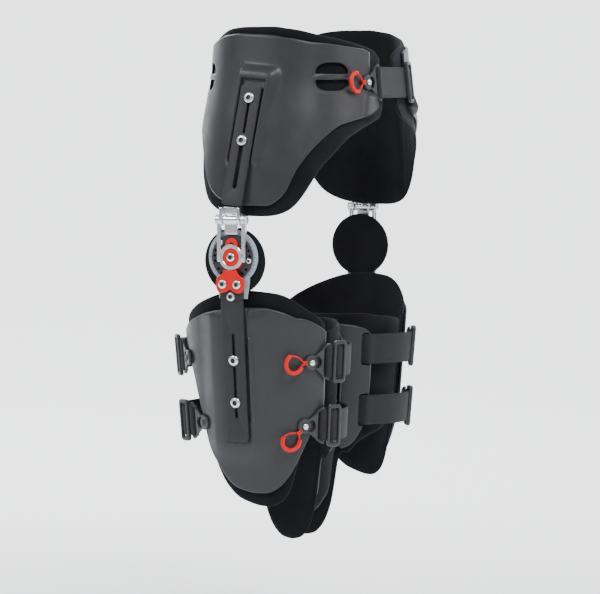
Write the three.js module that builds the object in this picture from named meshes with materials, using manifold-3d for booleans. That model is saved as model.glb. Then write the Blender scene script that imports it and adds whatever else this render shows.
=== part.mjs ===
// Hip brace: a waist girdle of two wrapped shells and, on each side, a thigh cuff hung from a hip hinge.
// Millimetres. +Z up, the front of the body faces -Y, the wearer's left is +X.
// The origin is the middle of the waist, level with the closing strap.
import * as THREE from "three";
import { mergeVertices } from "three/addons/utils/BufferGeometryUtils.js";
import Module from "manifold-3d";

const wasm = await Module();
wasm.setup();

// Girdle: outer face of the plastic, half sizes at the strap and at the lower edge
const WAIST_HALF_WIDTH = 155;
const WAIST_HALF_DEPTH = 108;
const HIP_HALF_WIDTH = 184;
const HIP_HALF_DEPTH = 122;
const GIRDLE_ABOVE_STRAP = 56;
const GIRDLE_BELOW_STRAP = 150;
const GIRDLE_SQUARENESS = 2.5;
const GIRDLE_PLASTIC = 3.2;
const GIRDLE_LINER = 4.5;
const GIRDLE_LINER_MARGIN = 9;
const LINER_GAP = 1.2;
const WEBBING_ROOM = 0.8;

// Lobed flex slots near the front and back edges of the girdle
const LOBE_TURN = 46;
const LOBE_LENGTH = 46;
const LOBE_HEIGHT = 11;
const LOBE_RISE = 4;
const LOBE_BRIDGE = 7;

// Hip hinge: where its pivot lies from the origin, and the pin above it
const HINGE_OUTSIDE_HIP = 6;
const HINGE_OUT = HIP_HALF_WIDTH + HINGE_OUTSIDE_HIP;
const HINGE_BACK = 16;
const HINGE_DROP = 212;
const CLEVIS_RISE = 45;

// Thigh cuff: outer face of the plastic. It fills the room between the hinge and the midline,
// and narrows towards its lower edge
const CUFF_MIDLINE_GAP = 11;
const CUFF_HINGE_GAP = 11;
const CUFF_TOP_HALF_WIDTH = (HINGE_OUT - CUFF_HINGE_GAP - CUFF_MIDLINE_GAP) / 2;
const CUFF_TOP_HALF_DEPTH = 102;
const CUFF_NARROWING = 10;
const CUFF_LOW_HALF_WIDTH = CUFF_TOP_HALF_WIDTH - CUFF_NARROWING;
const CUFF_LOW_HALF_DEPTH = 88;
const CUFF_SQUARENESS = 2.2;
const CUFF_TOP_DROP = 61;
const CUFF_HEIGHT = 228;
const CUFF_BACK = 3;
const CUFF_PLASTIC = 3;
const CUFF_LINER = 4.5;
const CUFF_LINER_MARGIN = 18;
const TONGUE_LENGTH = 84;

// Bars and the raised seats that hold them
const BAR_THICK = 4;
const BAR_SLOT = 6.4;
const BAR_SEAT_GAP = 0.3;
const SHELL_SWELL = 0.19 * (HIP_HALF_WIDTH - WAIST_HALF_WIDTH);
const BAR_LIFT = SHELL_SWELL;
const GIRDLE_BAR_WIDTH = 27.5;
const GIRDLE_BAR_LENGTH = 146;
const THIGH_BAR_WIDTH = 30;
const THIGH_BAR_LENGTH = 176;
const THIGH_BAR_TILT = Math.atan2(2 * CUFF_NARROWING, CUFF_HEIGHT);
const BAR_HEAD = 27;
const BAR_BEND = 50;
const BOSS_WALL = 4;
const BOSS_SKIRT = 3;

// Hinge layers, counted outward from the pivot plane
const LAYER_GAP = 0.3;
const DIAL_LAYER = -6.9;
const DIAL_THICK = 2.5;
const DISC_LAYER = DIAL_LAYER + DIAL_THICK + LAYER_GAP;
const DISC_THICK = 2.2;
const BAR_LAYER = DISC_LAYER;
const CUFF_BAR_STANDOFF = CUFF_HINGE_GAP + BAR_LAYER;
const ARM_LAYER = DISC_LAYER + DISC_THICK + LAYER_GAP;
const ARM_THICK = 2.6;
const STOP_HIGH = 4.2;
const STOP_TOP = DISC_LAYER + STOP_HIGH;

// Hinge radii and half widths
const PAD_RADIUS = 41;
const PAD_THICK = 6;
const PAD_DROP = 5;
const DIAL_RADIUS = 33;
const DISC_RADIUS = 24.5;
const STOP_RADIUS = 13.4;
const LUG_RADIUS = 7.5;
const LUG_RISE = 15;
const LUG_HOLE = 2.6;
const SCREW_BORE = 4;
const SCREW_HEAD = 5.2;
const SCREW_HEAD_THICK = 2.4;
const ARM_INSIDE = 14;
const ARM_WIDTH = 5;
const ARM_BELOW = 6;
const TAB_HALF = 6;
const TAB_LOW = 25.5;
const PIN_RADIUS = 4.2;
const PIN_LENGTH = 42;
const PIN_OUT = -1.2;
const KNUCKLE_RADIUS = 6;
const EAR_RADIUS = 7.2;
const EAR_INSIDE = 6.4;
const EAR_THICK = 7.2;
const BRACKET_HALF = 13.6;
const BAR_LEAN_ROOM = 1.8;

// Butterfly cover over the hinge end of the thigh bar
const COVER_THICK = 3.4;
const COVER_TOP = 15.5;
const COVER_LOW = 43;
const COVER_NECK_HALF = 9;
const COVER_WING = 19;
const COVER_NOTCH = 6;

// Straps, buckles, brackets and pull rings
const WEBBING_WIDTH = 38;
const WEBBING_THICK = 2;
const WEBBING_LIFT = 1;
const SLOT_WIDTH = 11;
const SLOT_SPARE = 3;
const BUCKLE_HEIGHT = 52;
const BUCKLE_LENGTH = 18;
const BUCKLE_THICK = 5;
const BUCKLE_BAR = 4;
const BUCKLE_GAP = 1;
const BUCKLE_SEAT = 0.4;
const BRACKET_LENGTH = 27;
const BRACKET_HEIGHT = 46;
const BRACKET_THICK = 3.6;
const BRACKET_POST = 3.2;
const BRACKET_APEX = 8;
const BRACKET_SEAT = 0.3;
const RING_RADIUS = 11.5;
const RING_TUBE = 2.6;
const RING_BEHIND_POST = 23;
const WAIST_STRAP_RISE = -3;
const WAIST_POST = 71;
const WAIST_BUCKLE = 77;
const BACK_STRAP_HALF = 24;

// Cuff straps: drop below the pivot, and the turns at which their brackets are riveted
const UPPER_STRAP_DROP = 128;
const STRAP_SPACING = 78;
const CUFF_STRAPS = [
  { level: "upper", drop: UPPER_STRAP_DROP, frontPost: 57, backPost: -50 },
  { level: "lower", drop: UPPER_STRAP_DROP + STRAP_SPACING, frontPost: 52, backPost: -30 },
];

// Webbing slots of the inner shell, in degrees either side of the middle of the inner thigh
const INNER_SLOTS = [-50, -25, 25, 50];

// Screw slots, as shares of the bar's length from its lower (girdle) or upper (thigh) end
const GIRDLE_BAR_SLOTS = [{ from: 0.14, to: 0.54 }, { from: 0.6, to: 0.89 }];
const THIGH_BAR_SLOTS = [{ from: 0.24, to: 0.45 }, { from: 0.54, to: 0.83 }];

// Raised seats: stations as shares of the bar's length; spread and crest widen the front wall, in mm
const GIRDLE_BOSS = [
  { up: 0.33, spread: 1, crest: 2 },
  { up: 0.42, spread: 5, crest: 4 },
  { up: 0.78, spread: 16, crest: 6 },
  { up: 1.12, spread: 16, crest: 6 },
  { up: 1.18, spread: 12, crest: 2 },
];
const THIGH_BOSS = [{ down: 0.1 }, { down: 1.03 }];

const DARK_PLASTIC = { color: 0x4a4a4d, roughness: 0.55, metalness: 0 };
const LINER_FOAM = { color: 0x0e0e11, roughness: 0.95, metalness: 0 };
const BAR_COAT = { color: 0x38383b, roughness: 0.5, metalness: 0.3 };
const ZINC = { color: 0xcfd6d9, roughness: 0.3, metalness: 1 };
const RED_PLASTIC = { color: 0xe83828, roughness: 0.4, metalness: 0 };
const DIAL_GREY = { color: 0xa9b7c4, roughness: 0.45, metalness: 0.2 };
const BUCKLE_PLASTIC = { color: 0x47484b, roughness: 0.5, metalness: 0 };
const WEBBING = { color: 0x2c2c2f, roughness: 0.85, metalness: 0 };

// Girdle section by height: rise is a share of the shell height, inward a share from hip size to waist size
const GIRDLE_SECTIONS = [
  { rise: -0.08, inward: -0.03 },
  { rise: 0.0, inward: 0.0 },
  { rise: 0.24, inward: 0.2 },
  { rise: 0.49, inward: 0.55 },
  { rise: 0.73, inward: 1.0 },
  { rise: 1.0, inward: 1.27 },
  { rise: 1.08, inward: 1.32 },
];

// Edges of the wrapped pieces: turn in degrees from the side of the body towards the front,
// high and low as shares of the height above and below the strap
const GIRDLE_EDGE = [
  { turn: -75, high: 0.64, low: 0.24 },
  { turn: -66, high: 0.68, low: 0.31 },
  { turn: -52, high: 0.75, low: 0.37 },
  { turn: -41, high: 0.82, low: 0.47 },
  { turn: -32, high: 0.89, low: 0.63 },
  { turn: -25, high: 0.95, low: 0.81 },
  { turn: -18, high: 0.98, low: 0.91 },
  { turn: -10, high: 1.0, low: 0.97 },
  { turn: 0, high: 0.98, low: 1.0 },
  { turn: 8, high: 0.95, low: 1.0 },
  { turn: 14, high: 0.91, low: 0.96 },
  { turn: 19, high: 0.89, low: 0.88 },
  { turn: 24, high: 0.86, low: 0.73 },
  { turn: 30, high: 0.82, low: 0.61 },
  { turn: 40, high: 0.79, low: 0.47 },
  { turn: 50, high: 0.75, low: 0.37 },
  { turn: 62, high: 0.7, low: 0.32 },
  { turn: 71, high: 0.66, low: 0.28 },
  { turn: 75, high: 0.6, low: 0.22 },
];

const GIRDLE_LINER_EDGE = [
  { turn: -85, high: 0.42, low: 0.18 },
  { turn: -82, high: 0.52, low: 0.28 },
  { turn: -75, high: 0.6, low: 0.32 },
  { turn: -52, high: 0.76, low: 0.5 },
  { turn: -42, high: 0.82, low: 0.63 },
  { turn: -35, high: 0.87, low: 0.78 },
  { turn: -28, high: 0.92, low: 0.9 },
  { turn: -20, high: 0.97, low: 0.97 },
  { turn: -8, high: 1.0, low: 1.02 },
  { turn: 6, high: 1.0, low: 1.03 },
  { turn: 16, high: 0.96, low: 1.01 },
  { turn: 23, high: 0.93, low: 0.96 },
  { turn: 28, high: 0.9, low: 0.89 },
  { turn: 33, high: 0.87, low: 0.8 },
  { turn: 39, high: 0.84, low: 0.68 },
  { turn: 47, high: 0.8, low: 0.58 },
  { turn: 57, high: 0.75, low: 0.46 },
  { turn: 68, high: 0.68, low: 0.38 },
  { turn: 78, high: 0.6, low: 0.32 },
  { turn: 83, high: 0.52, low: 0.28 },
  { turn: 86, high: 0.4, low: 0.18 },
];

// Cuff edges: high and low as shares of the cuff height below its upper edge
const CUFF_EDGE = [
  { turn: -66, high: 0.158, low: 0.2 },
  { turn: -56, high: 0.136, low: 0.276 },
  { turn: -46, high: 0.101, low: 0.355 },
  { turn: -40, high: 0.083, low: 0.47 },
  { turn: -33, high: 0.066, low: 0.632 },
  { turn: -26, high: 0.048, low: 0.768 },
  { turn: -16, high: 0.03, low: 0.882 },
  { turn: -6, high: 0.013, low: 0.961 },
  { turn: 6, high: 0.0, low: 0.996 },
  { turn: 18, high: 0.0, low: 1.0 },
  { turn: 30, high: 0.016, low: 0.969 },
  { turn: 38, high: 0.035, low: 0.917 },
  { turn: 45, high: 0.055, low: 0.846 },
  { turn: 52, high: 0.061, low: 0.763 },
  { turn: 60, high: 0.083, low: 0.671 },
  { turn: 68, high: 0.11, low: 0.601 },
  { turn: 74, high: 0.136, low: 0.54 },
];

const CUFF_LINER_EDGE = [
  { turn: -72, high: 0.185, low: 0.2 },
  { turn: -60, high: 0.14, low: 0.275 },
  { turn: -50, high: 0.105, low: 0.35 },
  { turn: -43, high: 0.085, low: 0.465 },
  { turn: -36, high: 0.065, low: 0.625 },
  { turn: -28, high: 0.045, low: 0.755 },
  { turn: -17, high: 0.02, low: 0.88 },
  { turn: -5, high: 0.0, low: 0.955 },
  { turn: 8, high: -0.01, low: 0.99 },
  { turn: 20, high: -0.005, low: 1.0 },
  { turn: 32, high: 0.005, low: 0.98 },
  { turn: 41, high: 0.025, low: 0.93 },
  { turn: 47, high: 0.045, low: 0.84 },
  { turn: 52, high: 0.065, low: 0.745 },
  { turn: 60, high: 0.09, low: 0.655 },
  { turn: 69, high: 0.12, low: 0.585 },
  { turn: 76, high: 0.15, low: 0.52 },
];

// Inner thigh shell: apart is degrees either side of the middle of the inner thigh,
// tongue is the share of the tongue's length that hangs below the cuff's lower band
const INNER_SHELL_EDGE = [
  { apart: 56, high: 0.22, low: 0.66, tongue: 0 },
  { apart: 50, high: 0.185, low: 0.74, tongue: 0 },
  { apart: 41, high: 0.165, low: 0.82, tongue: 0 },
  { apart: 32, high: 0.155, low: 0.85, tongue: 0 },
  { apart: 25, high: 0.15, low: 0.86, tongue: 0.05 },
  { apart: 22.5, high: 0.15, low: 0.86, tongue: 0.5 },
  { apart: 17, high: 0.15, low: 0.86, tongue: 0.76 },
  { apart: 9, high: 0.15, low: 0.86, tongue: 0.94 },
  { apart: 0, high: 0.15, low: 0.86, tongue: 1 },
];

const INNER_LINER_EDGE = [
  { apart: 100, high: 0.19, low: 0.66, tongue: 0 },
  { apart: 80, high: 0.17, low: 0.72, tongue: 0 },
  { apart: 62, high: 0.16, low: 0.75, tongue: 0 },
  { apart: 50, high: 0.15, low: 0.78, tongue: 0 },
  { apart: 40, high: 0.15, low: 0.83, tongue: 0 },
  { apart: 30, high: 0.15, low: 0.85, tongue: 0.03 },
  { apart: 27, high: 0.15, low: 0.85, tongue: 0.42 },
  { apart: 21, high: 0.15, low: 0.85, tongue: 0.73 },
  { apart: 11, high: 0.15, low: 0.85, tongue: 0.94 },
  { apart: 0, high: 0.15, low: 0.85, tongue: 1 },
];

const radians = THREE.MathUtils.degToRad;
const mix = THREE.MathUtils.lerp;

function mesh(name, geometry, look) {
  const piece = new THREE.Mesh(geometry, new THREE.MeshStandardMaterial(look));
  piece.name = name;
  return piece;
}

// Joining and cutting closed meshes
function toSolid(geometry) {
  const bare = geometry.clone();
  bare.deleteAttribute("normal");
  bare.deleteAttribute("uv");
  const merged = mergeVertices(bare, 1e-4);
  return new wasm.Manifold(new wasm.Mesh({
    numProp: 3,
    vertProperties: new Float32Array(merged.attributes.position.array),
    triVerts: new Uint32Array(merged.index.array),
  }));
}

function fromSolid(solid) {
  const data = solid.getMesh();
  const geometry = new THREE.BufferGeometry();
  geometry.setAttribute("position", new THREE.BufferAttribute(data.vertProperties, 3));
  geometry.setIndex(new THREE.BufferAttribute(data.triVerts, 1));
  geometry.computeVertexNormals();
  return geometry;
}

function join(first, ...others) {
  return fromSolid(others.reduce((solid, other) => solid.add(toSolid(other)), toSolid(first)));
}

function cut(first, ...others) {
  return fromSolid(others.reduce((solid, other) => solid.subtract(toSolid(other)), toSolid(first)));
}

// Plain solids. A plate is drawn in its own plane, x and y, and thickened along z
function box(x, y, z) {
  const geometry = new THREE.BoxGeometry(x[1] - x[0], y[1] - y[0], z[1] - z[0]);
  return geometry.translate((x[0] + x[1]) / 2, (y[0] + y[1]) / 2, (z[0] + z[1]) / 2);
}

function plate(shape, from, thick, curveSegments = 5) {
  const geometry = new THREE.ExtrudeGeometry(shape, { depth: thick, bevelEnabled: false, curveSegments });
  return geometry.translate(0, 0, from);
}

function disc(radius, from, thick, sides = 16) {
  const geometry = new THREE.CylinderGeometry(radius, radius, thick, sides).rotateX(Math.PI / 2);
  return geometry.translate(0, 0, from + thick / 2);
}

function barrel(radius, x, y, z, sides = 10) {
  const geometry = new THREE.CylinderGeometry(radius, radius, x[1] - x[0], sides).rotateZ(Math.PI / 2);
  return geometry.translate((x[0] + x[1]) / 2, y, z);
}

function roundedRect(x, y, corner) {
  const shape = new THREE.Shape();
  shape.moveTo(x[0] + corner, y[0]);
  shape.lineTo(x[1] - corner, y[0]);
  shape.absarc(x[1] - corner, y[0] + corner, corner, -Math.PI / 2, 0);
  shape.lineTo(x[1], y[1] - corner);
  shape.absarc(x[1] - corner, y[1] - corner, corner, 0, Math.PI / 2);
  shape.lineTo(x[0] + corner, y[1]);
  shape.absarc(x[0] + corner, y[1] - corner, corner, Math.PI / 2, Math.PI);
  shape.lineTo(x[0], y[0] + corner);
  shape.absarc(x[0] + corner, y[0] + corner, corner, Math.PI, 1.5 * Math.PI);
  return shape;
}

// A closed body over a grid of points: rings[i][j] runs round the section at station i
function loft(rings) {
  const around = rings[0].length;
  const points = rings.flat();
  const index = [];
  for (let i = 0; i + 1 < rings.length; i += 1) {
    for (let j = 0; j < around; j += 1) {
      const a = i * around + j;
      const b = i * around + (j + 1) % around;
      index.push(a, b, b + around, a, b + around, a + around);
    }
  }
  const last = (rings.length - 1) * around;
  for (let j = 1; j + 1 < around; j += 1) {
    index.push(0, j + 1, j, last, last + j, last + j + 1);
  }
  return closedBody(points, index);
}

function closedBody(points, index) {
  let volume = 0;
  for (let i = 0; i < index.length; i += 3) {
    const [a, b, c] = [points[index[i]], points[index[i + 1]], points[index[i + 2]]];
    volume += a.dot(b.clone().cross(c));
  }
  const geometry = new THREE.BufferGeometry().setFromPoints(points);
  geometry.setIndex(volume > 0 ? index : index.reverse());
  geometry.computeVertexNormals();
  return geometry;
}

// Rounded body sections. turn is in degrees: 0 is the outer side, 90 the front, 180 the inner side
function sectionPoint(halfWidth, halfDepth, squareness, turn) {
  const across = Math.cos(radians(turn));
  const forward = Math.sin(radians(turn));
  const power = 2 / squareness;
  const x = halfWidth * Math.sign(across) * Math.abs(across) ** power;
  const y = -halfDepth * Math.sign(forward) * Math.abs(forward) ** power;
  return [x, y];
}

// Smooth curve through the girdle sections
function inwardShare(rise) {
  const rows = GIRDLE_SECTIONS;
  const above = rows.findIndex((row) => row.rise > rise);
  const i = above < 0 ? rows.length - 2 : Math.max(above, 1) - 1;
  const slope = (k) => {
    const [before, after] = [rows[Math.max(k - 1, 0)], rows[Math.min(k + 1, rows.length - 1)]];
    return (after.inward - before.inward) / (after.rise - before.rise);
  };
  const span = rows[i + 1].rise - rows[i].rise;
  const t = (rise - rows[i].rise) / span;
  const bend = t * (1 - t) * span;
  const line = mix(rows[i].inward, rows[i + 1].inward, t);
  const chord = (rows[i + 1].inward - rows[i].inward) / span;
  return line + bend * ((slope(i) - chord) * (1 - t) - (slope(i + 1) - chord) * t);
}

function girdleRing(turn, z, out) {
  const inward = inwardShare((z + GIRDLE_BELOW_STRAP) / (GIRDLE_ABOVE_STRAP + GIRDLE_BELOW_STRAP));
  const halfWidth = mix(HIP_HALF_WIDTH, WAIST_HALF_WIDTH, inward) + out;
  const halfDepth = mix(HIP_HALF_DEPTH, WAIST_HALF_DEPTH, inward) + out;
  const [x, y] = sectionPoint(halfWidth, halfDepth, GIRDLE_SQUARENESS, turn);
  return new THREE.Vector3(x, y, z);
}

// The cuff's section is counted from the hinge pivot, and its inner side stays upright near the midline
function cuffRing(turn, z, out) {
  const down = (-z - CUFF_TOP_DROP) / CUFF_HEIGHT;
  const halfWidth = mix(CUFF_TOP_HALF_WIDTH, CUFF_LOW_HALF_WIDTH, down);
  const halfDepth = mix(CUFF_TOP_HALF_DEPTH, CUFF_LOW_HALF_DEPTH, down);
  const [x, y] = sectionPoint(halfWidth + out, halfDepth + out, CUFF_SQUARENESS, turn);
  const centre = CUFF_MIDLINE_GAP + halfWidth - HINGE_OUT;
  return new THREE.Vector3(centre + x, CUFF_BACK + y, z);
}

// The turn that lies a given distance along the ring from another, negative towards the back
function turnAfter(ring, turn, z, distance) {
  const step = 0.5 * Math.sign(distance);
  let at = turn;
  let left = Math.abs(distance);
  while (left > 0) {
    left -= ring(at, z, 0).distanceTo(ring(at + step, z, 0));
    at += step;
  }
  return at;
}

// A wall that wraps a ring: each row gives a turn, its low and high edge and how far out its inner face lies
function wrapped(ring, rows, thick, up) {
  return loft(rows.map(({ turn, low, high, base }) => {
    const inner = Array.from({ length: up + 1 }, (_, i) => ring(turn, mix(low, high, i / up), base));
    const outer = Array.from({ length: up + 1 }, (_, i) => ring(turn, mix(high, low, i / up), base + thick));
    return [...inner, ...outer];
  }));
}

// Sets a piece on a ring: its x axis runs towards the outer side, y is up and z points away from the body
function seat(piece, ring, turn, z, lift) {
  const nudge = 0.5;
  const along = ring(turn - nudge, z, lift).sub(ring(turn + nudge, z, lift)).normalize();
  const rise = ring(turn, z + nudge, lift).sub(ring(turn, z - nudge, lift)).normalize();
  const away = along.clone().cross(rise).normalize();
  const up = away.clone().cross(along);
  piece.quaternion.setFromRotationMatrix(new THREE.Matrix4().makeBasis(along, up, away));
  piece.position.copy(ring(turn, z, lift));
  return piece;
}

// A cutter for a webbing slot, standing through the wall
function slotCutter(ring, turn, z) {
  const half = (WEBBING_WIDTH + SLOT_SPARE) / 2;
  const cutter = new THREE.Mesh(box([-SLOT_WIDTH / 2, SLOT_WIDTH / 2], [-half, half], [-12, 6]));
  seat(cutter, ring, turn, z, 0).updateMatrix();
  return cutter.geometry.applyMatrix4(cutter.matrix);
}

// Girdle shell, with a raised seat for the bar and the lobed flex slots
function girdleRows(table, margin, base) {
  return table.map(({ turn, high, low }) => ({
    turn,
    high: (GIRDLE_ABOVE_STRAP + margin) * high,
    low: -(GIRDLE_BELOW_STRAP + margin) * low,
    base,
  }));
}

// Where the girdle bar stands: foot at its lower end, x towards the back, y up the bar, z outward
function barFrame() {
  const lowest = -GIRDLE_BELOW_STRAP;
  const point = (z) => {
    const lean = HINGE_BACK * (-z / (HINGE_DROP - CLEVIS_RISE));
    return girdleRing(0, z, BAR_LIFT).setY(lean);
  };
  const foot = point(lowest);
  const up = point(lowest + GIRDLE_BAR_LENGTH).sub(foot).normalize();
  const away = new THREE.Vector3(0, 1, 0).cross(up).normalize();
  const back = up.clone().cross(away);
  return new THREE.Matrix4().makeBasis(back, up, away).setPosition(foot);
}

function section(up, foot, crest, lowest, highest) {
  const points = [[-foot.front, lowest], [-crest.front, highest], [crest.back, highest], [foot.back, lowest]];
  return points.map(([x, z]) => new THREE.Vector3(x, up, z));
}

function girdleBoss() {
  const half = GIRDLE_BAR_WIDTH / 2 + BAR_SEAT_GAP;
  const depth = -BAR_LIFT - GIRDLE_PLASTIC * 3;
  const body = loft(GIRDLE_BOSS.map(({ up, spread, crest }) => section(
    up * GIRDLE_BAR_LENGTH,
    { front: half + BOSS_WALL + spread, back: half + BOSS_WALL + BOSS_SKIRT },
    { front: half + crest, back: half + BOSS_WALL },
    depth,
    BAR_THICK,
  )));
  const channel = box([-half, half], [-BAR_LIFT, GIRDLE_BAR_LENGTH + BAR_SEAT_GAP], [-BAR_SEAT_GAP, 3 * BAR_THICK]);
  return cut(body, channel).applyMatrix4(barFrame());
}

function girdleCore() {
  const rows = girdleRows(GIRDLE_EDGE.filter(({ turn }) => Math.abs(turn) < 45), 3, -10 * GIRDLE_PLASTIC);
  return wrapped(girdleRing, rows, 9 * GIRDLE_PLASTIC, 4);
}

function lobe(towards) {
  const shape = new THREE.Shape();
  shape.moveTo(-LOBE_LENGTH / 2, 0);
  shape.lineTo(LOBE_LENGTH / 2, 0);
  shape.lineTo(LOBE_LENGTH / 2, LOBE_HEIGHT / 2);
  shape.quadraticCurveTo(0, LOBE_HEIGHT * 1.4, -LOBE_LENGTH / 2, LOBE_HEIGHT / 2);
  const geometry = plate(shape, -15, 30, 3);
  return towards > 0 ? geometry : geometry.rotateX(Math.PI);
}

function lobeCutters() {
  return [LOBE_TURN, -LOBE_TURN].flatMap((turn) => [1, -1].map((towards) => {
    const cutter = new THREE.Mesh(lobe(towards));
    seat(cutter, girdleRing, turn, LOBE_RISE + towards * LOBE_BRIDGE / 2, 0).updateMatrix();
    return cutter.geometry.applyMatrix4(cutter.matrix);
  }));
}

function girdleShell() {
  const wall = wrapped(girdleRing, girdleRows(GIRDLE_EDGE, 0, -GIRDLE_PLASTIC), GIRDLE_PLASTIC, 4);
  return cut(join(wall, cut(girdleBoss(), girdleCore())), ...lobeCutters());
}

function girdleLiner() {
  const base = -GIRDLE_PLASTIC - LINER_GAP - GIRDLE_LINER;
  return wrapped(girdleRing, girdleRows(GIRDLE_LINER_EDGE, GIRDLE_LINER_MARGIN, base), GIRDLE_LINER, 4);
}

// A flat bar with round ends and screw slots; slots are given as shares of its length
function slottedBar(width, length, slots, corner) {
  const half = width / 2;
  const shape = roundedRect([-half, half], [0, length], corner);
  const slotHalf = BAR_SLOT / 2;
  const cutters = slots.map(({ from, to }) => plate(
    roundedRect([-slotHalf, slotHalf], [from * length, to * length], slotHalf * 0.98), -BAR_THICK, 3 * BAR_THICK, 2));
  return cut(plate(shape, 0, BAR_THICK, 2), ...cutters);
}

function girdleBar() {
  return slottedBar(GIRDLE_BAR_WIDTH, GIRDLE_BAR_LENGTH, GIRDLE_BAR_SLOTS, 2).applyMatrix4(barFrame());
}

// Hinge pieces: x towards the back, y up, z outward, from the pivot
function clevisBracket() {
  const [low, high] = [CLEVIS_RISE + KNUCKLE_RADIUS + 2 * LAYER_GAP, HINGE_DROP - GIRDLE_BELOW_STRAP - BAR_LEAN_ROOM];
  const block = plate(roundedRect([-BRACKET_HALF, BRACKET_HALF], [low, high], 1.5), PIN_OUT - EAR_RADIUS, 2 * EAR_RADIUS, 2);
  const ears = [-1, 1].flatMap((side) => {
    const x = side > 0 ? [EAR_INSIDE, EAR_INSIDE + EAR_THICK] : [-EAR_INSIDE - EAR_THICK, -EAR_INSIDE];
    const strip = box(x, [CLEVIS_RISE, low + 1], [PIN_OUT - EAR_RADIUS + 0.1, PIN_OUT + EAR_RADIUS - 0.1]);
    return [strip, barrel(EAR_RADIUS, x, CLEVIS_RISE, PIN_OUT)];
  });
  const bore = barrel(PIN_RADIUS + LAYER_GAP, [-PIN_LENGTH, PIN_LENGTH], CLEVIS_RISE, PIN_OUT);
  return cut(join(block, ...ears), bore);
}

function hingeStirrup() {
  const arms = [-1, 1].flatMap((side) => {
    const x = side > 0 ? [ARM_INSIDE, ARM_INSIDE + ARM_WIDTH] : [-ARM_INSIDE - ARM_WIDTH, -ARM_INSIDE];
    const arm = plate(roundedRect(x, [-ARM_BELOW, CLEVIS_RISE], ARM_WIDTH / 2 - 0.1), ARM_LAYER, ARM_THICK, 2);
    return [arm, barrel(KNUCKLE_RADIUS, x, CLEVIS_RISE, PIN_OUT)];
  });
  const tab = box([-TAB_HALF, TAB_HALF], [TAB_LOW, CLEVIS_RISE], [ARM_LAYER, ARM_LAYER + ARM_THICK]);
  const knuckle = barrel(KNUCKLE_RADIUS, [-TAB_HALF, TAB_HALF], CLEVIS_RISE, PIN_OUT);
  const half = PIN_LENGTH / 2;
  const pin = barrel(PIN_RADIUS, [-half, half], CLEVIS_RISE, PIN_OUT);
  return join(pin, knuckle, tab, ...arms);
}

function stopDisc() {
  const flat = disc(DISC_RADIUS, DISC_LAYER, DISC_THICK, 18);
  const ring = disc(STOP_RADIUS, DISC_LAYER, STOP_HIGH, 12);
  const lug = disc(LUG_RADIUS, DISC_LAYER, STOP_HIGH, 10).translate(0, LUG_RISE, 0);
  const bore = disc(SCREW_BORE + LAYER_GAP, -20, 40, 10);
  const lugHole = disc(LUG_HOLE, -20, 40, 8).translate(0, LUG_RISE, 0);
  return cut(join(flat, ring, lug), bore, lugHole);
}

function pivotScrew() {
  const shaft = disc(SCREW_BORE, DIAL_LAYER, STOP_TOP - DIAL_LAYER + LAYER_GAP + 1, 10);
  return join(shaft, disc(SCREW_HEAD, STOP_TOP + LAYER_GAP, SCREW_HEAD_THICK, 12));
}

function dialPlate() {
  const shape = new THREE.Shape();
  const open = radians(300);
  shape.absarc(0, 0, DIAL_RADIUS, radians(-60), radians(-60) + open);
  shape.lineTo(-THIGH_BAR_WIDTH / 2, -BAR_BEND);
  shape.lineTo(THIGH_BAR_WIDTH / 2, -BAR_BEND);
  return cut(plate(shape, DIAL_LAYER, DIAL_THICK, 16), disc(SCREW_BORE + LAYER_GAP, -20, 40, 10));
}

function hingePad() {
  return disc(PAD_RADIUS, DIAL_LAYER - LAYER_GAP - PAD_THICK, PAD_THICK, 24).translate(0, -PAD_DROP, 0);
}

// Butterfly cover over the bar's head: a neck towards the pivot and two wings
function hingeCover() {
  const shape = new THREE.Shape();
  shape.moveTo(-COVER_NECK_HALF, -COVER_TOP);
  shape.lineTo(COVER_NECK_HALF, -COVER_TOP);
  shape.lineTo(COVER_NECK_HALF + 1, -COVER_TOP - 4);
  shape.quadraticCurveTo(COVER_WING, -COVER_TOP - 8, COVER_WING, -COVER_TOP - 14);
  shape.lineTo(COVER_WING - 2, -COVER_LOW + 3);
  shape.quadraticCurveTo(COVER_WING - 4, -COVER_LOW, COVER_WING - 8, -COVER_LOW);
  shape.lineTo(COVER_NOTCH, -COVER_LOW);
  shape.lineTo(0, -COVER_LOW + COVER_NOTCH);
  shape.lineTo(-COVER_NOTCH, -COVER_LOW);
  shape.lineTo(-COVER_WING + 8, -COVER_LOW);
  shape.quadraticCurveTo(-COVER_WING + 4, -COVER_LOW, -COVER_WING + 2, -COVER_LOW + 3);
  shape.lineTo(-COVER_WING, -COVER_TOP - 14);
  shape.quadraticCurveTo(-COVER_WING, -COVER_TOP - 8, -COVER_NECK_HALF - 1, -COVER_TOP - 4);
  return plate(shape, ARM_LAYER + ARM_THICK + LAYER_GAP, COVER_THICK, 4);
}

// Thigh bar: an upright head under the hinge and a blade tilted inward below its bend
function bladeFrame() {
  const tilt = new THREE.Matrix4().makeRotationX(THIGH_BAR_TILT);
  return tilt.setPosition(0, -BAR_BEND, BAR_LAYER);
}

function thighBar() {
  const half = THIGH_BAR_WIDTH / 2;
  const thick = ARM_LAYER + ARM_THICK - BAR_LAYER;
  const head = box([-half, half], [-BAR_BEND - 1, -BAR_HEAD], [BAR_LAYER, BAR_LAYER + thick]);
  const blade = slottedBar(THIGH_BAR_WIDTH, THIGH_BAR_LENGTH, THIGH_BAR_SLOTS, 4);
  return join(head, blade.rotateZ(Math.PI).applyMatrix4(bladeFrame()));
}

function toHingeAxes() {
  return new THREE.Matrix4().makeBasis(
    new THREE.Vector3(0, 1, 0), new THREE.Vector3(0, 0, 1), new THREE.Vector3(1, 0, 0));
}

// Thigh cuff
function cuffDrop(margin, share) {
  return -(CUFF_TOP_DROP - margin + (CUFF_HEIGHT + 2 * margin) * share);
}

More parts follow.
